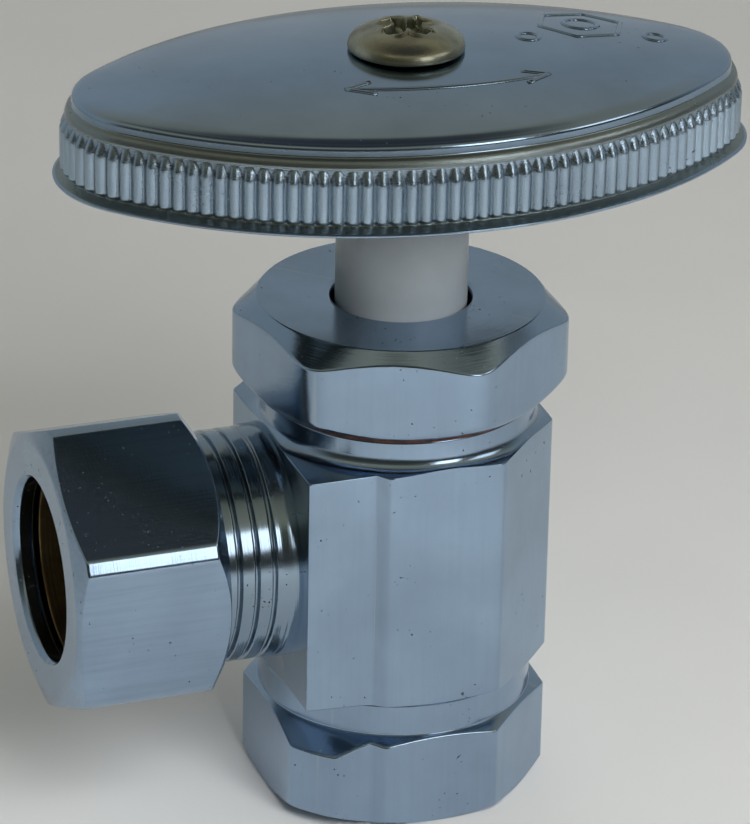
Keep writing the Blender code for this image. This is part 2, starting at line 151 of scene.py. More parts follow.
# Bonnet nut.
BONNET_FLATS = 26.3
BONNET_CORNER = -81.5
BONNET_SHARPNESS = 18
BONNET_ANGLES = 720
BONNET_STEPS = 4
BONNET_FACE_RADIUS = 12.5
BONNET_HOLE = 6.1
BONNET_SOCKET = 11.1
BONNET_CEILING = 42.2
BONNET_UNDER_SLOPE = 0.55
BONNET_UNDER_RADIUS = 12.7

# Compression nut.
TUBE_NUT_FLATS = 24.0
TUBE_NUT_CORNER = -5.3
TUBE_NUT_CUT = 0.38
TUBE_NUT_SHARPNESS = 420
TUBE_NUT_CORNER_SPREAD = radians(0.8)
TUBE_NUT_CORNER_ANGLES = 7
TUBE_NUT_ANGLES = 480
TUBE_NUT_FACE_RADIUS = 11.38
TUBE_NUT_BACK_RADIUS = 11.6
TUBE_NUT_SLOPE = 0.38
FERRULE_SEAT = 31.2
NUT_CONE_RADIUS = 9.5
NUT_CONE_END = 29.6
NUT_THREAD_START = 28.9
NUT_THREAD_END = TUBE_NUT_BACK + 1.0
NUT_ROWS_A_TURN = 10

# Stem.
STEM_ANGLES = 160
STEM_RADIUS = 5.75
STEM_FOOT_RADIUS = 2.6
STEM_GROOVE_RADIUS = 2.1
STEM_SHOULDER = 29.1
STEM_THREAD_START = 29.5
STEM_THREAD_END = 38.8
STEM_ROW_STEP = 0.1
STEM_PITCH = 1.5
STEM_ROOT = 6.0
STEM_TOOTH = 0.6
SQUARE_HALF = 4.0
SQUARE_SHARPNESS = 60
SQUARE_CORNER = 5.5
SQUARE_START = 60.5
SCREW_HOLE_RADIUS = 2.1
SCREW_HOLE_END = 56.5

# Handle: plan oval, dome, fluted skirt, bead and hollow underside.
HANDLE_TURN = radians(-3.8)
HALF_LENGTH = 28.8
HALF_WIDTH = 16.96
END_RADIUS = 8.6
HANDLE_EDGE = 66.0
HANDLE_RISE = 2.05
DOME_RING_ANGLES = 720
DOME_INSIDE = 0.25
DOME_ROWS = (0.0, 0.09, 0.18, 0.28, 0.38, 0.48, 0.58, 0.68, 0.77, 0.85, 0.92, 0.965)
FLUTES = 120
FLUTE_STEPS = 10
FLUTE_OFFSET = 1.02
FLUTE_DEPTH = 0.46
FLUTE_SHAPE = 2.0
FLUTE_TIP = 1.25
FLUTE_TIP_ROWS = 14
FLUTE_TIP_POWER = 1.35
FLUTE_TIP_SINK = 0.1
FLUTE_FOOT = 0.45
FLUTE_ROWS = 8
FLUTE_FOOT_POWER = 2
SKIRT_CROWN = HANDLE_EDGE - 1.95
SKIRT_ROOT = HANDLE_LOW.z + 0.7
SKIRT_WALL = 1.3
SHELF_TOP = HANDLE_EDGE - 1.03
COVE_FOOT = HANDLE_LOW.z + 0.36
HANDLE_LOOKS = ("handle", "flutes", "casting", "recess")
FACING_DOWN = -0.8
CEILING = 64.25
CEILING_EDGE = 3.4
HUB_RADIUS = 7.0
HUB_FOOT = 58.8
HUB_TOP = 65.0
HUB_BORE = 5.95
HUB_SOCKET = 5.8
HUB_STEP = 60.7

# Raised marks on the dome.
MARK_WIDTH = 0.5
MARK_HEIGHT = 0.14
MARK_SUNK = 0.05
MARK_STEPS = 7
ARROW_CENTRE = (1.6, 22.0)
ARROW_RADIUS = 30.4
ARROW_SPAN = (-107, -73)
ARROW_POINTS = 40
ARROW_HEAD = 2.3
ARROW_SPREAD = 1.1
ARROW_LEAN = 0.35
ARROW_HEAD_POINTS = 6
HEXAGON_CENTRE = (17.0, 4.6)
HEXAGON_RADIUS = 3.9
HEXAGON_TURN = 8.0
HEXAGON_POINTS_A_SIDE = 8
MARK_RINGS = ((HEXAGON_CENTRE, 1.5), ((11.2, 1.2), 0.95), ((22.6, 1.0), 0.95))
RING_SPAN = (0, 345)
RING_POINTS = 24

# Handle screw with its chewed cross recess.
HEAD_SEAT = 68.12
HEAD_RADIUS = 5.0
HEAD_EDGE = 0.4
HEAD_ANGLES = 240
RECESS_TURN = radians(28)
RECESS_DEPTH = 1.35
RECESS_REACH = 2.4
RECESS_HALF_WIDTH = 0.5
CHEW_SEED = 7
CHEW_WAVES = 6
CHEW_SIZE = 0.05
CHEW_SCALE = 3.1
BURR_HEIGHT = 0.16
SHANK_RADIUS = 2.0
SHANK_TIP_RADIUS = 1.2

# Inner pieces.
INNER_ANGLES = 128
GASKET_HOLE = 11.0

# Studio. Soft boxes: name, direction, distance and size in metres, power in watts, mirrored in the plating.
FLOOR_HALF = 3000
FLOOR_LINES = 24
LIGHT_AIM = Vector((0, 0, 0.035))
LIGHTS = (
    ("wash", (0.1, -0.5, 1), 1.15, (1.0, 1.0), 0.8, False),
    ("front", (0.06, -0.8, 0.6), 0.32, (0.15, 0.15), 0.70, False),
    ("back", (0, 0.75, 0.62), 1.3, (0.8, 0.5), 1.6, False),
    ("key", (0.33, -0.85, 0.41), 0.7, (0.22, 0.24), 0.6, True),
    ("side", (0.74, -0.46, 0.48), 0.8, (0.3, 0.22), 0.4, True),
)

# Surroundings: (height on a unit sphere, colour) behind the valve and ahead of it, and where they meet in Y.
ROOM_BEHIND = (
    (0.0, (0.34, 0.37, 0.38)),
    (0.5, (0.32, 0.35, 0.355)),
    (0.66, (0.33, 0.32, 0.27)),
    (0.83, (0.30, 0.28, 0.21)),
    (0.92, (0.08, 0.08, 0.075)),
    (1.0, (0.05, 0.052, 0.055)),
)
ROOM_AHEAD = (
    (0.0, (0.05, 0.05, 0.045)),
    (0.22, (0.06, 0.06, 0.05)),
    (0.5, (0.10, 0.10, 0.065)),
    (0.64, (0.40, 0.37, 0.27)),
    (0.86, (0.26, 0.25, 0.19)),
    (0.95, (0.05, 0.052, 0.055)),
)
BEHIND_FROM = 0.15
AHEAD_FROM = -0.25

# Camera: angles, distance, the point it turns about, its shift across the view, and the lens.
CAMERA_AZIMUTH = radians(-20.185)
CAMERA_ELEVATION = radians(24.625)
CAMERA_ROLL = radians(-1.092)
CAMERA_DISTANCE = 417.3
CAMERA_CENTRE = Vector((0, 0, 25.15))
CAMERA_LEFT = 1.9
CAMERA_UP = 8.217
LENS = 206.4
SENSOR_WIDTH = 36.0
CLIP_START = 0.01

# Colours of the metals, plastics, dirt, painted shade and floor.
CHROME = (0.32, 0.43, 0.57)
THREAD_CHROME = (0.27, 0.35, 0.43)
FLUTE_CHROME = (0.35, 0.45, 0.55)
# Darker plating for the bands above and below the handle's ribs: painted shade.
RECESS_SHADE_CHROME = (0.28, 0.33, 0.34)
RUBBED_CHROME = (0.52, 0.56, 0.58)
PIT_DIRT = (0.06, 0.055, 0.05)
# Near-black painted shade for the hollows of threads and ribs.
HOLLOW_SHADE = (0.03, 0.035, 0.035)
BRASS = (0.30, 0.21, 0.10)
BRASS_STAIN = (0.10, 0.065, 0.03)
# Dull casting tones of the handle's underside, darkened partly as painted shade.
CAST_AND_SHADE_TONES = ((0.12, 0.13, 0.11), (0.07, 0.075, 0.06))
STEEL_TONES = ((0.38, 0.39, 0.31), (0.24, 0.24, 0.18))
# Near-black painted shade for the hollows of the screw's recess.
STEEL_RECESS_SHADE = (0.03, 0.028, 0.022)
# White plastic darkened to grey-blue: painted shade on the stem under the handle.
PLASTIC_SHADED_TONES = ((0.36, 0.41, 0.45), (0.32, 0.36, 0.39))
RUBBER_TONES = ((0.02, 0.02, 0.022), (0.05, 0.05, 0.05))
FIBRE_TONES = ((0.03, 0.012, 0.01), (0.13, 0.045, 0.035))
FLOOR_TONES = ((0.80, 0.81, 0.82), (0.77, 0.78, 0.79))

# Noise sizes, in waves a metre.
CLOUDS = 90
WAVES = 160
PATCHES = 260
GRAIN = 1400
SPECKS = 3000
STREAKS = 2600
DRAWN_LINES = 3800
TURNED_LINES = 5200
BRASS_LINES = 3600
CAST_GRAIN = 6500
UNDERSIDE_CLOUDS = 150
UNDERSIDE_GRAIN = 2200
STEEL_CLOUDS = 420
STEEL_GRAIN = 2600
PLASTIC_CLOUDS = 180
PLASTIC_GRAIN = 1800
PLASTIC_LINES = 1500
RUBBER_FLECKS = 2400
FIBRE_FLECKS = 700
FLOOR_SPECKS = 30


def smooth(low, high, value):
    """Rise from 0 to 1 between two values."""
    share = np.clip((value - low) / (high - low), 0, 1)
    return share * share * (3 - 2 * share)


def grid_object(name, grid, close_rows, close_columns=True):
    """Mesh from a grid of points in millimetres, rows by columns, closed round the columns."""
    rows, columns, _ = grid.shape
    index = np.arange(rows * columns).reshape(rows, columns)
    if close_rows:
        index = np.vstack([index, index[:1]])
    if close_columns:
        index = np.hstack([index, index[:, :1]])
    corners = [index[:-1, :-1], index[:-1, 1:], index[1:, 1:], index[1:, :-1]]
    faces = np.stack(corners, axis=-1).reshape(-1, 4)
    data = bpy.data.meshes.new(name)
    data.from_pydata((grid.reshape(-1, 3) * MM).tolist(), [], faces.tolist())
    mesh = bmesh.new()
    mesh.from_mesh(data)
    bmesh.ops.remove_doubles(mesh, verts=mesh.verts, dist=WELD_METRES)
    bmesh.ops.recalc_face_normals(mesh, faces=mesh.faces)
    mesh.to_mesh(data)
    mesh.free()
    data.shade_smooth()
    item = bpy.data.objects.new(name, data)
    bpy.context.scene.collection.objects.link(item)
    return item


def rounded_rows(corners, count, closed=True, steps=ROUNDING_STEPS):
    """Rows of (radius, height) points along an outline whose corners are (radius, height, rounding)."""
    path = np.zeros((len(corners), count, 2))
    for row, (radius, height, _) in enumerate(corners):
        path[row, :, 0] = radius
        path[row, :, 1] = height
    rows = []
    last = len(corners) - 1
    for row, (_, _, rounding) in enumerate(corners):
        here = path[row]
        if rounding <= 0 or (not closed and row in (0, last)):
            rows.append(here)
            continue
        before = path[row - 1] - here
        after = path[(row + 1) % len(corners)] - here
        reach_before = np.linalg.norm(before, axis=1, keepdims=True) + TINY
        reach_after = np.linalg.norm(after, axis=1, keepdims=True) + TINY
        room = np.minimum(reach_before, reach_after) * ROUNDING_SHARE
        tangent = np.minimum(rounding, room)
        before /= reach_before
        after /= reach_after
        start = here + before * tangent
        end = here + after * tangent
        rows.append(start + before * np.minimum(ROUNDING_HOLD, ROUNDING_HOLD * reach_before))
        for step in range(steps + 1):
            part = step / steps
            inner = (1 - part) ** 2 * start + 2 * part * (1 - part) * here
            rows.append(inner + part**2 * end)
        rows.append(end + after * np.minimum(ROUNDING_HOLD, ROUNDING_HOLD * reach_after))
    return np.array(rows)


def turned_object(name, corners, angles, closed=True, steps=ROUNDING_STEPS):
    """Solid of revolution, or one whose radius changes with the angle, from an outline."""
    rows = rounded_rows(corners, len(angles), closed, steps)
    grid = np.empty((*rows.shape[:2], 3))
    grid[..., 0] = rows[..., 0] * np.cos(angles)
    grid[..., 1] = rows[..., 0] * np.sin(angles)
    grid[..., 2] = rows[..., 1]
    return grid_object(name, grid, closed)


def even_angles(count):
    return np.arange(count) * tau / count


def reach_of(planes, angles, sharpness):
    """Distance from the axis to a convex outline given as (normal in degrees, distance) planes."""
    shares = []
    for normal, distance in planes:
        shares.append(np.maximum(np.cos(angles - radians(normal)), 0) / distance)
    shares = np.array(shares)
    top = shares.max(axis=0)
    total = ((shares / top) ** sharpness).sum(axis=0)
    return 1 / (top * total ** (1 / sharpness))


def corner_angles(reach, spread, extra=7, base=360):
    """Even angles, and more of them where the plan given by its reach turns sharply."""
    fine = even_angles(SCAN_ANGLES)
    distance = reach(fine)
    x, y = distance * np.cos(fine), distance * np.sin(fine)
    heading = np.unwrap(np.arctan2(np.roll(y, -1) - y, np.roll(x, -1) - x))
    turn = np.abs(np.roll(heading, -SCAN_SPAN) - heading)
    turn[-SCAN_SPAN:] = 0
    found = []
    for index in np.argsort(-turn):
        if turn[index] < CORNER_TURN:
            break
        middle = fine[(index + SCAN_SPAN // 2) % len(fine)]
        near = [abs((middle - other + pi) % tau - pi) for other in found]
        if not near or min(near) > CORNERS_APART:
            found.append(middle)
    angles = set(even_angles(base).tolist())
    for middle in found:
        for part in np.linspace(-1, 1, extra):
            angles.add(float((middle + part * spread) % tau))
    angles = np.array(sorted(angles))
    gaps = np.diff(np.append(angles, angles[0] + tau))
    return angles[gaps > LEAST_GAP]


def tooth(share, flat_root=0.45, flat_crest=0.16):
    """Height of a rounded thread tooth, 0 at the root and 1 at the crest."""
    away = np.abs((share % 1.0) - 0.5) * 2
    return 1 - smooth(flat_crest, 1 - flat_root, away)


def on_outlet(item):
    """Lay a turned piece along the outlet, which points to -X."""
    item.rotation_euler = (0, -pi / 2, 0)
    item.location = (0, 0, OUTLET_HEIGHT * MM)
    return item

# Materials

class Nodes:
    """Short ways to add and join shader nodes."""

    def __init__(self, name):
        self.material = bpy.data.materials.new(name)
        self.material.use_nodes = True
        self.tree = self.material.node_tree
        self.shader = self.tree.nodes["Principled BSDF"]
        self.here = self.tree.nodes.new("ShaderNodeTexCoord").outputs["Object"]

    def add(self, kind, **settings):
        node = self.tree.nodes.new("ShaderNode" + kind)
        for key, value in settings.items():
            setattr(node, key, value)
        return node

    def join(self, source, target):
        self.tree.links.new(source, target)

    def finish(self, colour, roughness, normal):
        self.join(colour, self.shader.inputs["Base Color"])
        self.join(roughness, self.shader.inputs["Roughness"])
        self.join(normal, self.shader.inputs["Normal"])
        return self.material

    def math(self, operation, first, second=0.5, third=0.0):
        node = self.add("Math", operation=operation)
        for socket, value in zip(node.inputs, (first, second, third)):
            if isinstance(value, (int, float)):
                socket.default_value = value
            else:
                self.join(value, socket)
        return node.outputs[0]

    def stretched(self, scale):
        node = self.add("Mapping")
        self.join(self.here, node.inputs["Vector"])
        node.inputs["Scale"].default_value = scale
        return node.outputs["Vector"]

    def noise(self, vector, scale, detail=3.0, roughness=0.55):
        node = self.add("TexNoise")
        self.join(vector, node.inputs["Vector"])
        node.inputs["Scale"].default_value = scale
        node.inputs["Detail"].default_value = detail
        node.inputs["Roughness"].default_value = roughness
        return node.outputs["Fac"]

    def spread(self, value, low, high, start=0.0, end=1.0):
        node = self.add("MapRange")
        self.join(value, node.inputs["Value"])
        node.inputs["From Min"].default_value = start
        node.inputs["From Max"].default_value = end
        node.inputs["To Min"].default_value = low
        node.inputs["To Max"].default_value = high
        return node.outputs["Result"]

    def mix(self, share, first, second):
        node = self.add("Mix", data_type="RGBA")
        self.join(share, node.inputs["Factor"])
        for socket, value in ((node.inputs["A"], first), (node.inputs["B"], second)):
            if isinstance(value, tuple):
                socket.default_value = (*value, 1.0)
            else:
                self.join(value, socket)
        return node.outputs["Result"]

    def bump(self, height, strength, distance, under=None):
        node = self.add("Bump")
        self.join(height, node.inputs["Height"])
        node.inputs["Strength"].default_value = strength
        node.inputs["Distance"].default_value = distance * MM
        if under:
            self.join(under, node.inputs["Normal"])
        return node.outputs["Normal"]


def axis_rings(nodes, scale):
    """Fine lines that circle the local Z axis, as a turning tool leaves."""
    flat = nodes.add("VectorMath", operation="LENGTH")
    nodes.join(nodes.stretched((1, 1, 0)), flat.inputs[0])
    split = nodes.add("SeparateXYZ")
    nodes.join(nodes.here, split.inputs[0])
    joined = nodes.add("CombineXYZ")
    nodes.join(flat.outputs["Value"], joined.inputs["X"])
    nodes.join(split.outputs["Z"], joined.inputs["Y"])
    return nodes.noise(joined.outputs[0], scale, 2.0)


def pit_mask(nodes, amount):
    """Sparse irregular specks: 1 inside a pit, 0 elsewhere. They gather in patches."""
    specks = nodes.noise(nodes.here, SPECKS, 1.5, 0.5)
    patches = nodes.noise(nodes.here, PATCHES, 2.0, 0.5)
    height = nodes.math("MULTIPLY_ADD", patches, 0.35, specks)
    return nodes.spread(height, 0, 1, 0.96 - amount, 1.0 - amount)


def plated(name, colour, roughness, turned=0.0, drawn=0.0, cast=0.0, pits=0.03, hollow_shade=0.0, edges=True):
    """Bright plating with clouding, tool lines, small pits, worn edges and painted shade that darkens
    concave hollows.

    Without edges the wear comes from fine noise, for a fine mesh on which pointiness draws false lines.
    """
    nodes = Nodes(name)
    nodes.shader.inputs["Metallic"].default_value = 1.0
    broad = nodes.noise(nodes.here, CLOUDS, 4.0)
    fine = nodes.noise(nodes.here, GRAIN, 4.0, 0.65)
    pitted = pit_mask(nodes, pits)
    geometry = nodes.add("NewGeometry")
    edge = nodes.spread(geometry.outputs["Pointiness"], 0, 1, 0.53, 0.62)
    if not edges:
        edge = nodes.spread(fine, 0, 0.5, 0.62, 0.8)
    worn = nodes.math("MULTIPLY", edge, nodes.spread(broad, 0.2, 1.0, 0.4, 0.65))

    darker = tuple(part * 0.82 for part in colour)
    clean = nodes.mix(nodes.spread(broad, 0, 1, 0.35, 0.7), colour, darker)
    rubbed = nodes.mix(nodes.math("MULTIPLY", worn, 0.35), clean, RUBBED_CHROME)
    dirty = nodes.mix(nodes.math("MULTIPLY", pitted, 0.8), rubbed, PIT_DIRT)
    if drawn:
        streaks = nodes.noise(nodes.stretched((1, 1, 0.03)), STREAKS, 3.0)
        share = nodes.math("MULTIPLY", nodes.spread(streaks, 0, 1, 0.45, 0.75), drawn * 1.6)
        dirty = nodes.mix(share, dirty, tuple(part * 0.45 for part in colour))
    # Painted shade: hollows found by pointiness are darkened towards near black.
    if hollow_shade:
        hollow = nodes.spread(geometry.outputs["Pointiness"], 1, 0, 0.40, 0.485)
        dirty = nodes.mix(nodes.math("MULTIPLY", hollow, hollow_shade), dirty, HOLLOW_SHADE)

    sheen = nodes.math("ADD", nodes.spread(broad, -0.03, 0.05, 0.3, 0.7), roughness)
    grain = nodes.math("MULTIPLY_ADD", fine, 0.06, sheen)
    rough = nodes.math("MULTIPLY_ADD", pitted, 0.35, grain)

    normal = nodes.bump(nodes.spread(pitted, 1, 0), 0.5, 0.06)
    wave = nodes.noise(nodes.here, WAVES, 2.0)
    normal = nodes.bump(wave, 0.12, 0.25, normal)
    if turned:
        normal = nodes.bump(axis_rings(nodes, TURNED_LINES), turned, 0.03, normal)
    if drawn:
        lines = nodes.noise(nodes.stretched((1, 1, 0.015)), DRAWN_LINES, 3.0)
        normal = nodes.bump(lines, drawn, 0.03, normal)
    if cast:
        grains = nodes.noise(nodes.here, CAST_GRAIN, 2.0, 0.6)
        normal = nodes.bump(grains, cast, 0.03, normal)
    return nodes.finish(dirty, rough, normal)


def brass():
    """Bare turned brass with darker stains."""
    nodes = Nodes("raw_brass")
    nodes.shader.inputs["Metallic"].default_value = 1.0
    broad = nodes.noise(nodes.here, WAVES, 4.0)
    stained = nodes.mix(nodes.spread(broad, 0, 1, 0.4, 0.7), BRASS, BRASS_STAIN)
    lines = nodes.bump(axis_rings(nodes, BRASS_LINES), 0.5, 0.05)
    return nodes.finish(stained, nodes.spread(broad, 0.28, 0.5, 0.3, 0.7), lines)


def casting():
    """Unpolished underside of the handle: thin dull plating over grainy metal, kept dark partly as painted
    shade under the cap.
    """
    nodes = Nodes("dull_casting_and_shade")
    nodes.shader.inputs["Metallic"].default_value = 0.85
    broad = nodes.noise(nodes.here, UNDERSIDE_CLOUDS, 4.0)
    tone = nodes.mix(nodes.spread(broad, 0, 1, 0.35, 0.7), *CAST_AND_SHADE_TONES)
    grains = nodes.bump(nodes.noise(nodes.here, UNDERSIDE_GRAIN, 4.0, 0.65), 0.5, 0.08)
    return nodes.finish(tone, nodes.spread(broad, 0.42, 0.62, 0.3, 0.7), grains)


def dull_steel():
    """Olive screw plating, with the hollows of the recess darkened as painted shade."""
    nodes = Nodes("dull_steel")
    nodes.shader.inputs["Metallic"].default_value = 1.0
    broad = nodes.noise(nodes.here, STEEL_CLOUDS, 4.0)
    tone = nodes.mix(nodes.spread(broad, 0, 1, 0.35, 0.7), *STEEL_TONES)
    geometry = nodes.add("NewGeometry")
    # Painted shade: hollows found by pointiness go near black.
    hollow = nodes.spread(geometry.outputs["Pointiness"], 1, 0, 0.40, 0.49)
    dark = nodes.mix(hollow, tone, STEEL_RECESS_SHADE)
    grains = nodes.bump(nodes.noise(nodes.here, STEEL_GRAIN, 4.0), 0.25, 0.05)
    return nodes.finish(dark, nodes.spread(broad, 0.2, 0.42, 0.3, 0.7), grains)


def white_plastic():
    """Moulded plastic with faint upright streaks and a little light passing through, its white darkened to
    grey-blue as painted shade.
    """
    nodes = Nodes("white_plastic")
    shader = nodes.shader
    broad = nodes.noise(nodes.here, PLASTIC_CLOUDS, 4.0)
    fine = nodes.noise(nodes.here, PLASTIC_GRAIN, 3.0)
    tone = nodes.mix(nodes.spread(broad, 0, 1, 0.35, 0.7), *PLASTIC_SHADED_TONES)
    shader.inputs["Subsurface Weight"].default_value = 0.35
    shader.inputs["Subsurface Radius"].default_value = (0.9, 0.8, 0.7)
    shader.inputs["Subsurface Scale"].default_value = 0.0015
    upright = nodes.noise(nodes.stretched((1, 1, 0.08)), PLASTIC_LINES, 2.0)
    normal = nodes.bump(fine, 0.1, 0.03, nodes.bump(upright, 0.08, 0.05))
    return nodes.finish(tone, nodes.spread(fine, 0.34, 0.5, 0.3, 0.7), normal)


def soft_seal(name, colour, fleck, scale):
    """Rubber or pressed fibre: matt, finely mottled."""
    nodes = Nodes(name)
    speck = nodes.noise(nodes.here, scale, 4.0, 0.7)
    tone = nodes.mix(nodes.spread(speck, 0, 1, 0.4, 0.65), colour, fleck)
    return nodes.finish(tone, nodes.spread(speck, 0.6, 0.85, 0.3, 0.7), nodes.bump(speck, 0.3, 0.05))


looks = {
    "body": plated("plated_body", CHROME, 0.12, turned=0.10, drawn=0.05, pits=0.02),
    "bonnet": plated("plated_bonnet", CHROME, 0.14, turned=0.3, drawn=0.05, pits=0.035),
    "tube_nut": plated("plated_tube_nut", CHROME, 0.13, turned=0.15, drawn=0.14, pits=0.035),
    # The thread's hollows are darkened as painted shade.
    "thread": plated("plated_thread", THREAD_CHROME, 0.13, turned=0.35, pits=0.03, hollow_shade=0.8),
    "handle": plated("plated_handle", CHROME, 0.11, pits=0.012, edges=False),
    # The ribs' grooves are darkened as painted shade.
    "flutes": plated("plated_flutes", FLUTE_CHROME, 0.2, cast=1.0, pits=0.01, hollow_shade=1.0),
    # Darker plating in the bands above and below the ribs: painted shade.
    "recess": plated("plated_recess_shade", RECESS_SHADE_CHROME, 0.26, cast=0.8, pits=0.0),
    "casting": casting(),
    "raw_brass": brass(),
    "screw": dull_steel(),
    "stem": white_plastic(),
    "rubber": soft_seal("black_rubber", *RUBBER_TONES, RUBBER_FLECKS),
    "fibre": soft_seal("red_fibre", *FIBRE_TONES, FIBRE_FLECKS),
}


def settle(item, body, look, node=None):
    """Give a piece its material and its body, and hide the CAD node it stands for, if it names one."""
    item.data.materials.append(looks[look])
    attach(item, body)
    if node:
        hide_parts(node)


# Body

def block_reach(angles):
    """Plan of the bar: seven sides of an octagon, and the squared nose towards the outlet."""
    octagon = [(normal, FLAT) for normal in (0, 45, 90, 135, -135, -90, -45)]
    bar = reach_of([*octagon, (180, NOSE_END)], angles, BODY_SHARPNESS)
    nose = [(-90, NOSE_SIDE), (90, NOSE_SIDE), (180, NOSE_END), (135, NOSE_CUT), (0, INWARD)]
    return np.maximum(bar, reach_of(nose, angles, BODY_SHARPNESS))


def base_reach(angles):
    """Plan of the base: the same bar with its corners turned round."""
    octagon = [(normal, FLAT) for normal in range(0, 360, 45)]
    bar = reach_of(octagon, angles, BODY_SHARPNESS)
    nose = [(-90, NOSE_SIDE), (180, FLAT), (0, INWARD), (90, INWARD)]
    joined = np.maximum(bar, reach_of(nose, angles, BODY_SHARPNESS))
    return (joined**-BASE_POWER + BASE_RADIUS**-BASE_POWER) ** (-1 / BASE_POWER)


def inlet_thread(angles):
    """Rows up the female pipe thread from its mouth to its floor."""
    rows = []
    for height in np.arange(INLET_DEPTH - 1.2, 0.9, -INLET_PITCH / INLET_ROWS_A_TURN):
        turn = height / INLET_PITCH - angles / tau
        fade = smooth(0.8, 2.4, height)
        rows.append((INLET_RADIUS - INLET_TOOTH * fade * tooth(turn, 0.3, 0.2), height, 0))
    return rows[::-1]


def neck_fillet(block):
    """Rows of the curve from the neck down to the ledge, and the ledge's height round the bar's plan."""
    room = np.clip((block - FILLET_MARGIN - NECK_RADIUS) / NECK_FILLET, 0, 1)
    sweep = np.arccos(1 - room)
    rows = []
    for part in np.linspace(0, 1, FILLET_ROWS):
        radius = NECK_RADIUS + NECK_FILLET * (1 - np.cos(part * sweep))
        rows.append((radius, LEDGE + NECK_FILLET * (1 - np.sin(part * sweep)), 0))
    return rows, LEDGE + NECK_FILLET * (1 - np.sin(sweep))


def open_waterway(shell):
    """Cut the way from the chamber to the outlet through the shell's wall."""
    radius = BORE_RADIUS + WATERWAY_CLEARANCE
    outline = [
        (0, WATERWAY_START, 0),
        (radius, WATERWAY_START, 0),
        (radius, WATERWAY_END, 0),
        (0, WATERWAY_END, 0),
    ]
    cutter = turned_object("waterway_cutter", outline, even_angles(WATERWAY_ANGLES), closed=False)
    on_outlet(cutter)
    bpy.context.view_layer.update()
    cutter.data.transform(cutter.matrix_world)
    cutter.matrix_world = Matrix.Identity(4)
    cut = shell.modifiers.new("waterway", "BOOLEAN")
    cut.operation = "DIFFERENCE"
    cut.solver = "EXACT"
    cut.object = cutter
    graph = bpy.context.evaluated_depsgraph_get()
    opened = bpy.data.meshes.new_from_object(shell.evaluated_get(graph))
    shell.modifiers.clear()
    shell.data = opened
    bpy.data.objects.remove(cutter, do_unlink=True)


def make_body():
    at_block = corner_angles(block_reach, BODY_CORNER_SPREAD, BODY_CORNER_ANGLES)
    at_base = corner_angles(base_reach, BODY_CORNER_SPREAD, BODY_CORNER_ANGLES)
    angles = np.unique(np.round(np.concatenate([at_block, at_base]), 5))
    block = block_reach(angles)
    base = base_reach(angles)
    undercut = np.interp(block, [UNDERCUT_RADIUS, 13.5, 17], [11.72, 12.1, 12.4])
    shoulder = np.interp(base, [WAIST_RADIUS, 12.5, 13.53, BASE_RADIUS], [8.5, 8.4, 8.07, 7.3])
    foot = np.interp(base, [12.4, 13.53, BASE_RADIUS], [0.0, 0.6, 1.33])
    fillet, ledge = neck_fillet(block)
    corners = [
        (SPIGOT_BORE, SPIGOT_TOP, 0.2),
        (SPIGOT_RADIUS, SPIGOT_TOP, 0.4),
        (SPIGOT_RADIUS, NECK_TOP, 0.05),
        (NECK_RADIUS, NECK_TOP, 0.25),
        *fillet,
        (block, ledge, 0.14),
        (block, undercut, 0.12),
        (UNDERCUT_RADIUS, UNDERCUT_HEIGHT, 0.1),
        (WAIST_RADIUS, WAIST_TOP, 0.15),
        (WAIST_RADIUS, BASE_TOP, 0.1),
        (base, shoulder, 0.2),
        (base, foot, 0.2),
        (FOOT_RADIUS, 0, 0.2),
        (INLET_RADIUS + 0.6, 0, 0.15),
        (INLET_RADIUS, 0.75, 0.1),
        *inlet_thread(angles),
        (INLET_RADIUS, INLET_DEPTH - 0.9, 0.1),
        (INLET_RADIUS, INLET_DEPTH, 0.3),
        (PORT_RADIUS, INLET_DEPTH, 0.3),
        (PORT_RADIUS, SEAT_TOP, 0.3),
        (SEAT_RADIUS, SEAT_TOP, 0.5),
        (SEAT_RADIUS, CHAMBER_FLOOR, 0.2),
        (CHAMBER_RADIUS, CHAMBER_FLOOR, 0.2),
        (CHAMBER_RADIUS, CHAMBER_TOP, 0.1),
        (SPIGOT_BORE, CHAMBER_TOP, 0.1),
    ]
    shell = turned_object("valve_body_shell", corners, angles)
    open_waterway(shell)
    settle(shell, "valve", "body", "valve_body")


def make_outlet_branch():
    """Male thread with narrow grooves between broad worn crests, and the socket for the tube inside it."""
    angles = even_angles(OUTLET_ANGLES)
    rows = [(OUTLET_CREST, BRANCH_START, 0), (OUTLET_CREST, THREAD_START - 0.1, 0)]
    end = OUTLET_END - THREAD_CHAMFER
    for height in np.arange(THREAD_START, end, OUTLET_PITCH / OUTLET_ROWS_A_TURN):
        turn = height / OUTLET_PITCH + angles / tau
        fade = smooth(THREAD_FADE_START, THREAD_FADE_END, height) * smooth(end + 0.3, end - 0.5, height)
        depth = OUTLET_DEPTH * (1 - tooth(turn, 0.12, 0.66))
        worn = OUTLET_WORN * smooth(THREAD_FADE_START, THREAD_FADE_START + 1.0, height)
        rows.append((OUTLET_CREST - depth * fade - worn, height, 0))
    rows += [
        (OUTLET_CREST - 0.15, end + 0.1, 0.1),
        (OUTLET_CREST - 0.75, OUTLET_END, 0.12),
        (TUBE_MOUTH_RADIUS, OUTLET_END, 0.1),
        (TUBE_RADIUS + TUBE_CLEARANCE, TUBE_MOUTH_END, 0.2),
        (TUBE_RADIUS + TUBE_CLEARANCE, TUBE_STOP, 0.2),
        (BORE_RADIUS, TUBE_STOP, 0.25),
        (BORE_RADIUS, BORE_START, 0),
        (BORE_RADIUS + 0.1, BORE_START, 0),
    ]
    branch = on_outlet(turned_object("outlet_branch", rows, angles))
    settle(branch, "valve", "thread", "valve_body")


# Nuts

def hexagon_planes(flats, corner):
    return [(corner + 30 + 60 * side, flats / 2) for side in range(6)]


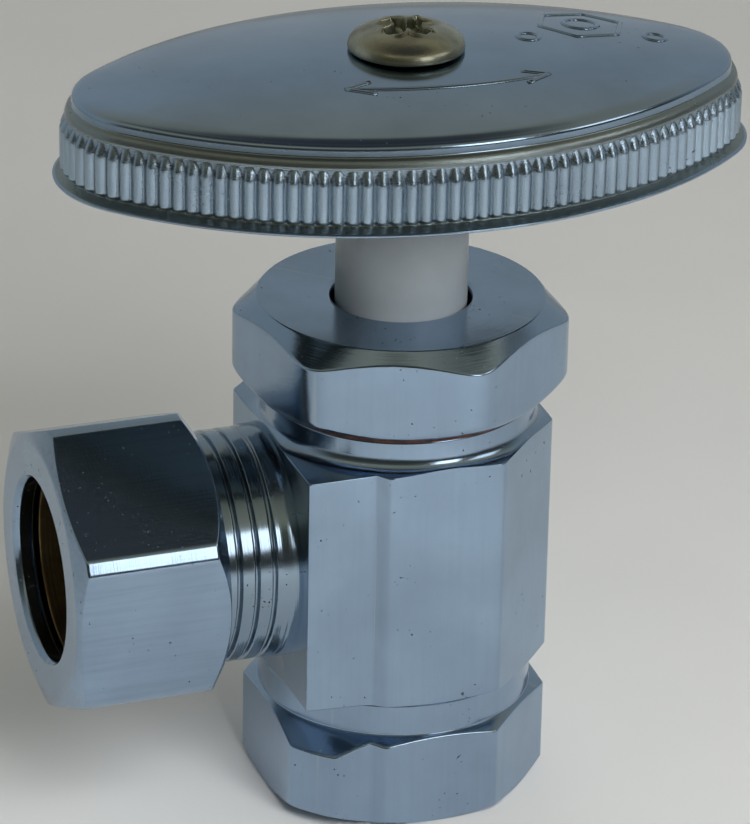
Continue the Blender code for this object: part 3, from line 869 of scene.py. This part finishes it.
def make_bonnet_nut():
    bottom, top = BONNET_LOW.z, BONNET_HIGH.z
    angles = even_angles(BONNET_ANGLES)
    outer = reach_of(hexagon_planes(BONNET_FLATS, BONNET_CORNER), angles, BONNET_SHARPNESS)
    upper = top - np.interp(outer, [12.9, 13.15, 14.6], [1.0, 1.15, 1.9])
    lower = bottom + BONNET_UNDER_SLOPE * (outer - BONNET_UNDER_RADIUS)
    corners = [
        (BONNET_HOLE, BONNET_CEILING, 0.1),
        (BONNET_HOLE, top, 0.45),
        (BONNET_FACE_RADIUS, top, 0.1),
        (outer, upper, 0.14),
        (outer, lower, 0.42),
        (BONNET_FACE_RADIUS, bottom, 0.15),
        (BONNET_SOCKET + 0.5, bottom, 0.3),
        (BONNET_SOCKET, bottom + 0.5, 0.1),
        (BONNET_SOCKET, BONNET_CEILING, 0.2),
    ]
    nut = turned_object("bonnet_nut_shell", corners, angles, steps=BONNET_STEPS)
    settle(nut, "valve", "bonnet", "bonnet_nut")


def tube_nut_reach(angles):
    """Plan of the compression nut: a hexagon whose corners are cut by narrow flats."""
    planes = hexagon_planes(TUBE_NUT_FLATS, TUBE_NUT_CORNER)
    cut_reach = TUBE_NUT_FLATS / 2 / cos(pi / 6) - TUBE_NUT_CUT
    planes += [(TUBE_NUT_CORNER + 60 * index, cut_reach) for index in range(6)]
    return reach_of(planes, angles, TUBE_NUT_SHARPNESS)


def make_compression_nut():
    angles = corner_angles(
        tube_nut_reach, TUBE_NUT_CORNER_SPREAD, TUBE_NUT_CORNER_ANGLES, TUBE_NUT_ANGLES
    )
    outer = tube_nut_reach(angles)
    face, back = TUBE_NUT_FACE, TUBE_NUT_BACK
    front = face - TUBE_NUT_SLOPE * (outer - TUBE_NUT_FACE_RADIUS)
    rear = back + np.interp(outer, [11.7, 12.0, 13.48], [0.0, 0.15, 1.45])
    rows = [
        (TUBE_NUT_BACK_RADIUS, back, 0.2),
        (outer, rear, 0.15),
        (outer, front, 0.16),
        (TUBE_NUT_FACE_RADIUS, face, 0.2),
        (TUBE_RADIUS + 0.38, face, 0.12),
        (TUBE_RADIUS, face - 0.45, 0.15),
        (TUBE_RADIUS, FERRULE_SEAT, 0.2),
        (NUT_CONE_RADIUS, NUT_CONE_END, 0.2),
        (OUTLET_CREST + 0.15, NUT_CONE_END - 0.1, 0.1),
    ]
    for height in np.arange(NUT_THREAD_START, NUT_THREAD_END, -OUTLET_PITCH / NUT_ROWS_A_TURN):
        turn = height / OUTLET_PITCH + angles / tau
        fade = smooth(NUT_THREAD_START, NUT_THREAD_START - 0.9, height)
        fade = fade * smooth(NUT_THREAD_END, NUT_THREAD_END + 1.0, height)
        gap = OUTLET_DEPTH * (1 - tooth(turn, 0.26, 0.12)) * fade
        rows.append((OUTLET_CREST + OUTLET_WORN - gap, height, 0))
    rows.append((OUTLET_CREST + 0.5, back, 0.1))
    nut = on_outlet(turned_object("compression_nut_shell", rows, angles))
    settle(nut, "tube_nut", "tube_nut", "compression_nut")


# Stem and handle

def make_stem():
    """Grooved foot, male thread, round shaft and the squared end inside the handle."""
    angles = even_angles(STEM_ANGLES)
    foot = STEM_LOW.z
    rows = [
        (0, foot, 0),
        (STEM_FOOT_RADIUS, foot, 0.3),
        (STEM_FOOT_RADIUS, foot + 0.5, 0.05),
        (STEM_GROOVE_RADIUS, foot + 0.5, 0.05),
        (STEM_GROOVE_RADIUS, foot + 1.2, 0.05),
        (STEM_FOOT_RADIUS, foot + 1.3, 0.05),
        (STEM_FOOT_RADIUS, STEM_SHOULDER, 0.1),
        (STEM_ROOT - 0.1, STEM_SHOULDER, 0.2),
    ]
    for height in np.arange(STEM_THREAD_START, STEM_THREAD_END, STEM_ROW_STEP):
        fade = smooth(STEM_THREAD_START, STEM_THREAD_START + 0.8, height)
        fade = fade * smooth(STEM_THREAD_END, STEM_THREAD_END - 0.6, height)
        crest = STEM_TOOTH * fade * tooth(height / STEM_PITCH - angles / tau, 0.3, 0.2)
        rows.append((STEM_ROOT + crest, height, 0))
    square = reach_of([(side * 90, SQUARE_HALF) for side in range(4)], angles, SQUARE_SHARPNESS)
    square = np.minimum(square, SQUARE_CORNER)
    rows += [
        (STEM_RADIUS + 0.2, STEM_THREAD_END + 0.3, 0.1),
        (STEM_RADIUS, STEM_THREAD_END + 0.4, 0.05),
        (STEM_RADIUS, SQUARE_START, 0.2),
        (square, SQUARE_START + 0.05, 0.05),
        (square, STEM_HIGH.z, 0.25),
        (SCREW_HOLE_RADIUS, STEM_HIGH.z, 0.1),
        (SCREW_HOLE_RADIUS, SCREW_HOLE_END, 0),
        (0, SCREW_HOLE_END - 0.2, 0),
    ]
    stem = turned_object("stem_turned", rows, angles, closed=False)
    stem.rotation_euler.z = HANDLE_TURN
    settle(stem, "spindle", "stem", "stem")


def oval(count, offset):
    """Points of the four-arc oval moved out by an offset, evenly spaced along it."""
    side = (HALF_LENGTH**2 + HALF_WIDTH**2 - 2 * HALF_LENGTH * END_RADIUS) / (
        2 * (HALF_WIDTH - END_RADIUS)
    )
    end_centre = HALF_LENGTH - END_RADIUS
    side_centre = side - HALF_WIDTH
    join = atan2(side_centre, end_centre)
    end_arc = 2 * join * END_RADIUS
    side_arc = (pi - 2 * join) * side
    along = np.arange(count) / count * 2 * (end_arc + side_arc)
    turns, rest = np.divmod(along, end_arc + side_arc)
    on_end = rest < end_arc
    angle = np.where(on_end, rest / END_RADIUS - join, join + (rest - end_arc) / side)
    radius = np.where(on_end, END_RADIUS, side) + offset
    x = np.where(on_end, end_centre, 0) + radius * np.cos(angle)
    y = np.where(on_end, 0, -side_centre) + radius * np.sin(angle)
    sign = np.where(turns % 2 == 1, -1, 1)
    return x * sign, y * sign


def dome_height(x, y):
    """Height of the handle's top over a point of its plan: elliptic inside, true to the oval at its edge."""
    ring_x, ring_y = oval(DOME_RING_ANGLES, 0)
    ring_angle = np.arctan2(ring_y, ring_x) % tau
    order = np.argsort(ring_angle)
    ring_reach = np.hypot(ring_x, ring_y)
    edge = np.interp(np.arctan2(y, x) % tau, ring_angle[order], ring_reach[order], period=tau)
    from_edge = (np.hypot(x, y) / edge) ** 2
    from_ellipse = (x / HALF_LENGTH) ** 2 + (y / HALF_WIDTH) ** 2
    near_edge = smooth(DOME_INSIDE, 1.0, from_edge)
    return HANDLE_EDGE + HANDLE_RISE * (1 - from_ellipse - near_edge * (from_edge - from_ellipse))


def oval_row(offset, height, shrink=1.0):
    x, y = oval(FLUTES * FLUTE_STEPS, offset)
    z = np.broadcast_to(np.asarray(height, float), x.shape)
    return np.stack([x * shrink, y * shrink, z], axis=-1)


def handle_top_rows():
    """Dome from its middle outwards, rolled edge, upright lip and the slope above the ribs."""
    rim_x, rim_y = oval(FLUTES * FLUTE_STEPS, 0)
    rows = []
    for part in DOME_ROWS:
        rows.append(oval_row(0, dome_height(rim_x * part, rim_y * part), part))
    edge = [(-0.5, 0.02), (-0.36, -0.03), (-0.2, -0.12), (-0.09, -0.24), (-0.02, -0.38), (0, -0.5)]
    lip = [(0.02, -0.92), (0.04, -1.0), (0.09, -1.07), (0.18, -1.12)]
    slope = [(0.3, -1.2), (0.42, -1.34), (0.5, -1.52), (0.56, -1.72), (0.6, -1.88)]
    for offset, rise in edge + lip + slope:
        rows.append(oval_row(offset, HANDLE_EDGE + rise))
    return rows


def flute_rows():
    """Skirt with round ribs that end in points above and in short rounds below."""
    away = 1 - np.abs((np.arange(FLUTES * FLUTE_STEPS) / FLUTE_STEPS) % 1.0 - 0.5) * 2
    rib = 1 - away**FLUTE_SHAPE
    groove = FLUTE_OFFSET - FLUTE_DEPTH
    foot_top = SKIRT_ROOT + FLUTE_FOOT
    rows = []
    for part in np.linspace(0, 1, FLUTE_TIP_ROWS):
        lost = (1 - part) ** FLUTE_TIP_POWER
        floor = groove - FLUTE_TIP_SINK * (1 - part)
        offset = floor + FLUTE_DEPTH * np.maximum(rib - lost, 0)
        rows.append(oval_row(offset, SKIRT_CROWN - FLUTE_TIP * part))
    for height in np.linspace(SKIRT_CROWN - FLUTE_TIP - 0.2, foot_top + 0.1, FLUTE_ROWS):
        rows.append(oval_row(groove + FLUTE_DEPTH * rib, height))
    for part in np.linspace(1, 0, FLUTE_ROWS):
        lost = (1 - part) ** FLUTE_FOOT_POWER
        offset = groove + FLUTE_DEPTH * np.maximum(rib - lost, 0)
        rows.append(oval_row(offset, SKIRT_ROOT + FLUTE_FOOT * part))
    return rows


def handle_bottom_rows():
    """Cove and bead below the ribs, then the inside of the skirt and the ceiling under the dome."""
    low = HANDLE_LOW.z
    cove = [(0.7, -0.06), (0.8, -0.14), (0.98, -0.22), (1.2, -0.29), (1.42, -0.35)]
    bead = [(1.56, -0.39), (1.63, -0.43), (1.65, -0.48), (1.64, -0.58), (1.58, -0.65), (1.45, -0.7)]
    inside = [
        (0.3, low),
        (-0.9, low + 0.02),
        (-1.2, low + 0.12),
        (-1.28, low + 0.3),
        (-SKIRT_WALL, low + 1.2),
        (-SKIRT_WALL, 63.0),
        (-1.6, 63.9),
        (-2.4, 64.2),
        (-CEILING_EDGE, CEILING),
    ]
    rows = [oval_row(offset, SKIRT_ROOT + rise) for offset, rise in cove + bead]
    rows += [oval_row(offset, height) for offset, height in inside]
    for shrink, rise in ((0.6, 0.5), (0.25, 0.6), (0.0, 0.6)):
        rows.append(oval_row(-CEILING_EDGE, CEILING + rise, shrink))
    return rows


def paint_handle(data):
    """Bright dome and bead, grainy ribs, bands above and below them darkened as painted shade, and dull
    casting inside whose dark tone is partly painted shade.
    """
    for look in HANDLE_LOOKS:
        data.materials.append(looks[look])
    top, bottom = (SKIRT_CROWN + 0.03) * MM, (SKIRT_ROOT - 0.02) * MM
    for face in data.polygons:
        centre = face.center
        inward = face.normal.dot(Vector((centre.x, centre.y, 0))) <= 0
        # Faces turned inward or down get the dull casting, partly painted shade under the cap.
        if centre.z < top and (inward or face.normal.z < FACING_DOWN):
            face.material_index = HANDLE_LOOKS.index("casting")
        elif bottom < centre.z < top:
            face.material_index = HANDLE_LOOKS.index("flutes")
        # Bands above and below the ribs take the darker look: painted shade.
        elif top <= centre.z < SHELF_TOP * MM or COVE_FOOT * MM < centre.z <= bottom:
            face.material_index = HANDLE_LOOKS.index("recess")


def make_handle():
    rows = handle_top_rows() + flute_rows() + handle_bottom_rows()
    handle = grid_object("handle_cap", np.array(rows), close_rows=False)
    handle.rotation_euler.z = HANDLE_TURN
    paint_handle(handle.data)
    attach(handle, "spindle")
    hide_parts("handle")

    hub = [
        (HUB_RADIUS, HUB_TOP, 0),
        (HUB_RADIUS, HUB_FOOT + 0.4, 0),
        (HUB_RADIUS - 0.2, HUB_FOOT, 0.15),
        (HUB_BORE, HUB_FOOT, 0.15),
        (HUB_BORE, HUB_STEP, 0.1),
        (HUB_SOCKET, HUB_STEP, 0),
        (HUB_SOCKET, HUB_TOP, 0),
    ]
    collar = turned_object("handle_hub", hub, even_angles(96))
    collar.rotation_euler.z = HANDLE_TURN
    settle(collar, "spindle", "handle")


def arc_points(centre, radius, span, count):
    angles = np.radians(np.linspace(*span, count))
    return centre[0] + radius * np.cos(angles), centre[1] + radius * np.sin(angles)


def raised_line(mesh, x, y, closed=False):
    """Half-round bead that follows a line drawn on the handle's top."""
    ahead = np.stack([np.gradient(x), np.gradient(y)])
    if closed:
        ahead = np.stack([np.roll(x, -1) - np.roll(x, 1), np.roll(y, -1) - np.roll(y, 1)])
    ahead = ahead / np.hypot(*ahead)
    rings = []
    for part in np.linspace(0, pi, MARK_STEPS):
        side = MARK_WIDTH / 2 * cos(part)
        line_x, line_y = x - ahead[1] * side, y + ahead[0] * side
        height = dome_height(line_x, line_y) - MARK_SUNK + (MARK_HEIGHT + MARK_SUNK) * sin(part)
        points = np.stack([line_x, line_y, height], axis=-1) * MM
        rings.append([mesh.verts.new(point) for point in points])
    last = len(x) if closed else len(x) - 1
    for near, far in zip(rings, rings[1:] + rings[:1]):
        for index in range(last):
            after = (index + 1) % len(x)
            mesh.faces.new((near[index], near[after], far[after], far[index]))
    if not closed:
        mesh.faces.new([ring[0] for ring in rings])
        mesh.faces.new([ring[-1] for ring in reversed(rings)])


def raised_arrow(mesh):
    """Curved line with a head at each end, made of two short lines each."""
    x, y = arc_points(ARROW_CENTRE, ARROW_RADIUS, ARROW_SPAN, ARROW_POINTS)
    raised_line(mesh, x, y)
    head = np.linspace(0, 1, ARROW_HEAD_POINTS)
    for end, inward in ((0, 1), (-1, -1)):
        for side in (-1, 1):
            head_x = x[end] + inward * ARROW_HEAD * head
            raised_line(mesh, head_x, y[end] + (side * ARROW_SPREAD - ARROW_LEAN) * head)


def raised_hexagon(mesh):
    corner = np.radians(np.arange(0, 360, 60) + HEXAGON_TURN)
    x = HEXAGON_CENTRE[0] + HEXAGON_RADIUS * np.cos(corner)
    hexagon = np.stack([x, HEXAGON_CENTRE[1] + HEXAGON_RADIUS * np.sin(corner)])
    along = np.arange(6 * HEXAGON_POINTS_A_SIDE) / HEXAGON_POINTS_A_SIDE
    side = along.astype(int)
    ends = hexagon[:, (side + 1) % 6]
    outline = hexagon[:, side] + (ends - hexagon[:, side]) * (along - side)
    raised_line(mesh, outline[0], outline[1], closed=True)


def make_handle_marks():
    """Plain raised signs: a turn arrow by the front edge, a hexagon and three rings on the right."""
    mesh = bmesh.new()
    raised_arrow(mesh)
    raised_hexagon(mesh)
    for centre, radius in MARK_RINGS:
        raised_line(mesh, *arc_points(centre, radius, RING_SPAN, RING_POINTS), closed=True)
    bmesh.ops.recalc_face_normals(mesh, faces=mesh.faces)
    data = bpy.data.meshes.new("handle_marks")
    mesh.to_mesh(data)
    mesh.free()
    data.shade_smooth()
    item = bpy.data.objects.new("handle_marks", data)
    bpy.context.scene.collection.objects.link(item)
    item.rotation_euler.z = HANDLE_TURN
    settle(item, "spindle", "handle", "handle")


def head_row(radius, angles, chew):
    """Row of the screw's head: dome, cross recess with ragged sides, and the burr raised along them."""
    x, y = radius * np.cos(angles - RECESS_TURN), radius * np.sin(angles - RECESS_TURN)
    ragged = np.zeros_like(x)
    for wave_x, wave_y, phase, size in chew:
        ragged += CHEW_SIZE * size * np.sin(CHEW_SCALE * wave_x * x + CHEW_SCALE * wave_y * y + 5 * phase)
    width = RECESS_HALF_WIDTH + 0.16 * radius * (1 + 0.6 * np.sin(3 * angles + 1.0)) + ragged
    arm = np.minimum(np.abs(x), np.abs(y))
    inside = smooth(0.14, -0.14, arm - width) * smooth(2.55, 2.2, radius + ragged)
    rise = SCREW_HIGH.z - HEAD_SEAT - HEAD_EDGE
    dome = HEAD_SEAT + HEAD_EDGE + rise * sqrt(max(1 - (radius / HEAD_RADIUS) ** 2, 0))
    burr = BURR_HEIGHT * smooth(0.5, 0.1, np.abs(arm - width)) * smooth(3.0, 2.3, radius)
    depth = RECESS_DEPTH * (1 - 0.25 * radius / RECESS_REACH)
    return radius, dome - inside * depth + burr * (1 + 3 * ragged), 0


def make_handle_screw():
    angles = even_angles(HEAD_ANGLES)
    radii = np.concatenate([np.linspace(0, 2.9, 48), np.linspace(3.0, 4.85, 14)])
    chew = np.random.default_rng(CHEW_SEED).normal(0, 1, (CHEW_WAVES, 4))
    rows = [head_row(radius, angles, chew) for radius in radii]
    rows += [
        (HEAD_RADIUS, HEAD_SEAT + 0.32, 0),
        (HEAD_RADIUS, HEAD_SEAT + 0.12, 0),
        (HEAD_RADIUS - 0.15, HEAD_SEAT, 0),
        (SHANK_RADIUS, HEAD_SEAT, 0.1),
        (SHANK_RADIUS, HUB_FOOT, 0.2),
        (SHANK_TIP_RADIUS, SCREW_LOW.z, 0.1),
        (0, SCREW_LOW.z, 0),
    ]
    screw = turned_object("handle_screw_head", rows, angles, closed=False)
    settle(screw, "spindle", "screw", "handle_screw")


# Inner pieces

GASKET = [
    (GASKET_HOLE, GASKET_LOW.z, 0.08),
    (GASKET_HIGH.x, GASKET_LOW.z, 0.1),
    (GASKET_HIGH.x, GASKET_HIGH.z, 0.1),
    (GASKET_HOLE, GASKET_HIGH.z, 0.08),
]
BUSH = [
    (6.7, 28.9, 0.1),
    (8.2, 28.9, 0.3),
    (8.2, 38.08, 0.05),
    (9.1, 38.08, 0.2),
    (9.1, 41.4, 0.3),
    (7.4, 41.4, 0.1),
    (7.4, 39.4, 0.1),
    (6.7, 39.4, 0.1),
]
PACKING = [(5.8, 39.5, 0.3), (7.3, 39.5, 0.3), (7.3, 41.3, 0.5), (5.8, 41.3, 0.5)]
FOLLOWER = [(5.9, 41.38, 0.1), (7.3, 41.38, 0.1), (7.3, 42.1, 0.1), (5.9, 42.1, 0.1)]
CARRIER = [
    (1.6, 24.5, 0.1),
    (6.15, 24.5, 0.1),
    (6.15, 22.9, 0.15),
    (6.9, 22.9, 0.3),
    (6.9, 26.1, 0.5),
    (4.8, 26.1, 0.3),
    (4.8, 28.7, 0.4),
    (2.75, 28.7, 0.15),
    (2.75, 27.9, 0.05),
    (3.35, 27.9, 0.05),
    (3.35, 26.5, 0.1),
    (1.6, 26.4, 0.05),
]
CLIP = [(2.2, 27.15, 0.1), (3.2, 27.15, 0.15), (3.2, 27.75, 0.15), (2.2, 27.75, 0.1)]
WASHER = [(1.7, 22.05, 0.1), (6.0, 22.05, 0.35), (6.0, 24.45, 0.2), (1.7, 24.45, 0.1)]
FERRULE = [
    (TUBE_RADIUS, 25.5, 0.1),
    (TUBE_RADIUS + 0.4, 25.5, 0.1),
    (9.2, 27.5, 0.4),
    (9.2, 28.5, 0.4),
    (TUBE_RADIUS + 0.4, 30.5, 0.1),
    (TUBE_RADIUS, 30.5, 0.1),
]

# Mesh name, outline, body, slot, look and CAD node of each.
INNER_PIECES = (
    ("gasket_ring", GASKET, "valve", "fibre", "fibre", "bonnet_gasket"),
    ("bush_turned", BUSH, "valve", "raw_brass", "raw_brass", "stem_bush"),
    ("packing_moulded", PACKING, "valve", "black_rubber", "rubber", "packing_ring"),
    ("packing_follower", FOLLOWER, "valve", "raw_brass", "raw_brass", "packing_washer"),
    ("carrier_cup", CARRIER, "washer_swivel", "raw_brass", "raw_brass", "washer_carrier"),
    ("carrier_ring", CLIP, "washer_swivel", "spring_steel", "screw", "carrier_clip"),
    ("seat_disc", WASHER, "washer_swivel", "black_rubber", "rubber", "seat_washer"),
    ("ferrule_sleeve", FERRULE, "ferrule", "raw_brass", "raw_brass", "compression_ferrule"),
)


def make_inner_pieces():
    for name, outline, body, slot, look, node in INNER_PIECES:
        item = turned_object(name, outline, even_angles(INNER_ANGLES))
        if body == "ferrule":
            on_outlet(item)
        settle(item, body, look, node)


def paint_washer_screw():
    """The CAD solid of the inner screw is shown as it is, with the brass look."""
    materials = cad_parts["seat_washer_screw"].data.materials
    materials.clear()
    materials.append(looks["raw_brass"])


# Studio

def make_floor():
    steps = np.linspace(-FLOOR_HALF, FLOOR_HALF, FLOOR_LINES)
    x, y = np.meshgrid(steps, steps)
    grid = np.stack([x, y, np.zeros_like(x)], axis=-1)
    floor = grid_object("floor", grid, close_rows=False, close_columns=False)
    nodes = Nodes("floor_paint")
    speck = nodes.noise(nodes.here, FLOOR_SPECKS, 3.0)
    tone = nodes.mix(nodes.spread(speck, 0, 1, 0.3, 0.7), *FLOOR_TONES)
    nodes.join(tone, nodes.shader.inputs["Base Color"])
    nodes.shader.inputs["Roughness"].default_value = 0.7
    floor.data.materials.append(nodes.material)


def soft_light(name, towards, distance, size, power, mirrored):
    """Soft box that looks at the valve; one that isn't mirrored leaves no reflection in the plating."""
    data = bpy.data.lights.new(name, "AREA")
    data.shape = "RECTANGLE"
    data.size, data.size_y = size
    data.energy = power
    lamp = bpy.data.objects.new(name, data)
    lamp.location = LIGHT_AIM + Vector(towards).normalized() * distance
    lamp.rotation_euler = (LIGHT_AIM - lamp.location).to_track_quat("-Z", "Y").to_euler()
    lamp.visible_glossy = mirrored
    bpy.context.scene.collection.objects.link(lamp)


def make_world():
    """Pale behind and dim in front, with a warm band high up and a dim sky overhead."""
    world = bpy.data.worlds.new("studio")
    bpy.context.scene.world = world
    world.use_nodes = True
    tree = world.node_tree
    place = tree.nodes.new("ShaderNodeTexCoord")
    split = tree.nodes.new("ShaderNodeSeparateXYZ")
    front = tree.nodes.new("ShaderNodeMapRange")
    front.inputs["From Min"].default_value = BEHIND_FROM
    front.inputs["From Max"].default_value = AHEAD_FROM
    both = tree.nodes.new("ShaderNodeMix")
    both.data_type = "RGBA"
    for stops, side in ((ROOM_BEHIND, "A"), (ROOM_AHEAD, "B")):
        ramp = tree.nodes.new("ShaderNodeValToRGB")
        elements = ramp.color_ramp.elements
        while len(elements) < len(stops):
            elements.new(0.5)
        for element, (height, colour) in zip(elements, stops):
            element.position = height
            element.color = (*colour, 1)
        tree.links.new(split.outputs["Z"], ramp.inputs["Fac"])
        tree.links.new(ramp.outputs["Color"], both.inputs[side])
    tree.links.new(place.outputs["Generated"], split.inputs[0])
    tree.links.new(split.outputs["Y"], front.inputs["Value"])
    tree.links.new(front.outputs["Result"], both.inputs["Factor"])
    tree.links.new(both.outputs["Result"], tree.nodes["Background"].inputs["Color"])


def use_plain_tones():
    """Show tones as they are lit, without the filmic curve that greys the plating."""
    bpy.context.scene.view_settings.view_transform = "Standard"


def make_camera():
    """Long lens above the valve and to the left of its front."""
    azimuth, elevation, roll = CAMERA_AZIMUTH, CAMERA_ELEVATION, CAMERA_ROLL
    toward = Vector((sin(azimuth) * cos(elevation), -cos(azimuth) * cos(elevation), sin(elevation)))
    right = Vector((cos(azimuth), sin(azimuth), 0))
    up = toward.cross(right)
    cam_right = right * cos(roll) - up * sin(roll)
    cam_up = right * sin(roll) + up * cos(roll)
    place = CAMERA_CENTRE + toward * CAMERA_DISTANCE - cam_right * CAMERA_LEFT + cam_up * CAMERA_UP
    data = bpy.data.cameras.new("camera")
    data.lens = LENS
    data.sensor_width = SENSOR_WIDTH
    data.clip_start = CLIP_START
    camera = bpy.data.objects.new("camera", data)
    turn = Matrix((cam_right, cam_up, toward)).transposed().to_4x4()
    camera.matrix_world = Matrix.Translation(place * MM) @ turn
    bpy.context.scene.collection.objects.link(camera)
    bpy.context.scene.camera = camera


make_body()
make_outlet_branch()
make_bonnet_nut()
make_compression_nut()
make_stem()
make_handle()
make_handle_marks()
make_handle_screw()
make_inner_pieces()
paint_washer_screw()
make_floor()
for light in LIGHTS:
    soft_light(*light)
make_world()
use_plain_tones()
make_camera()
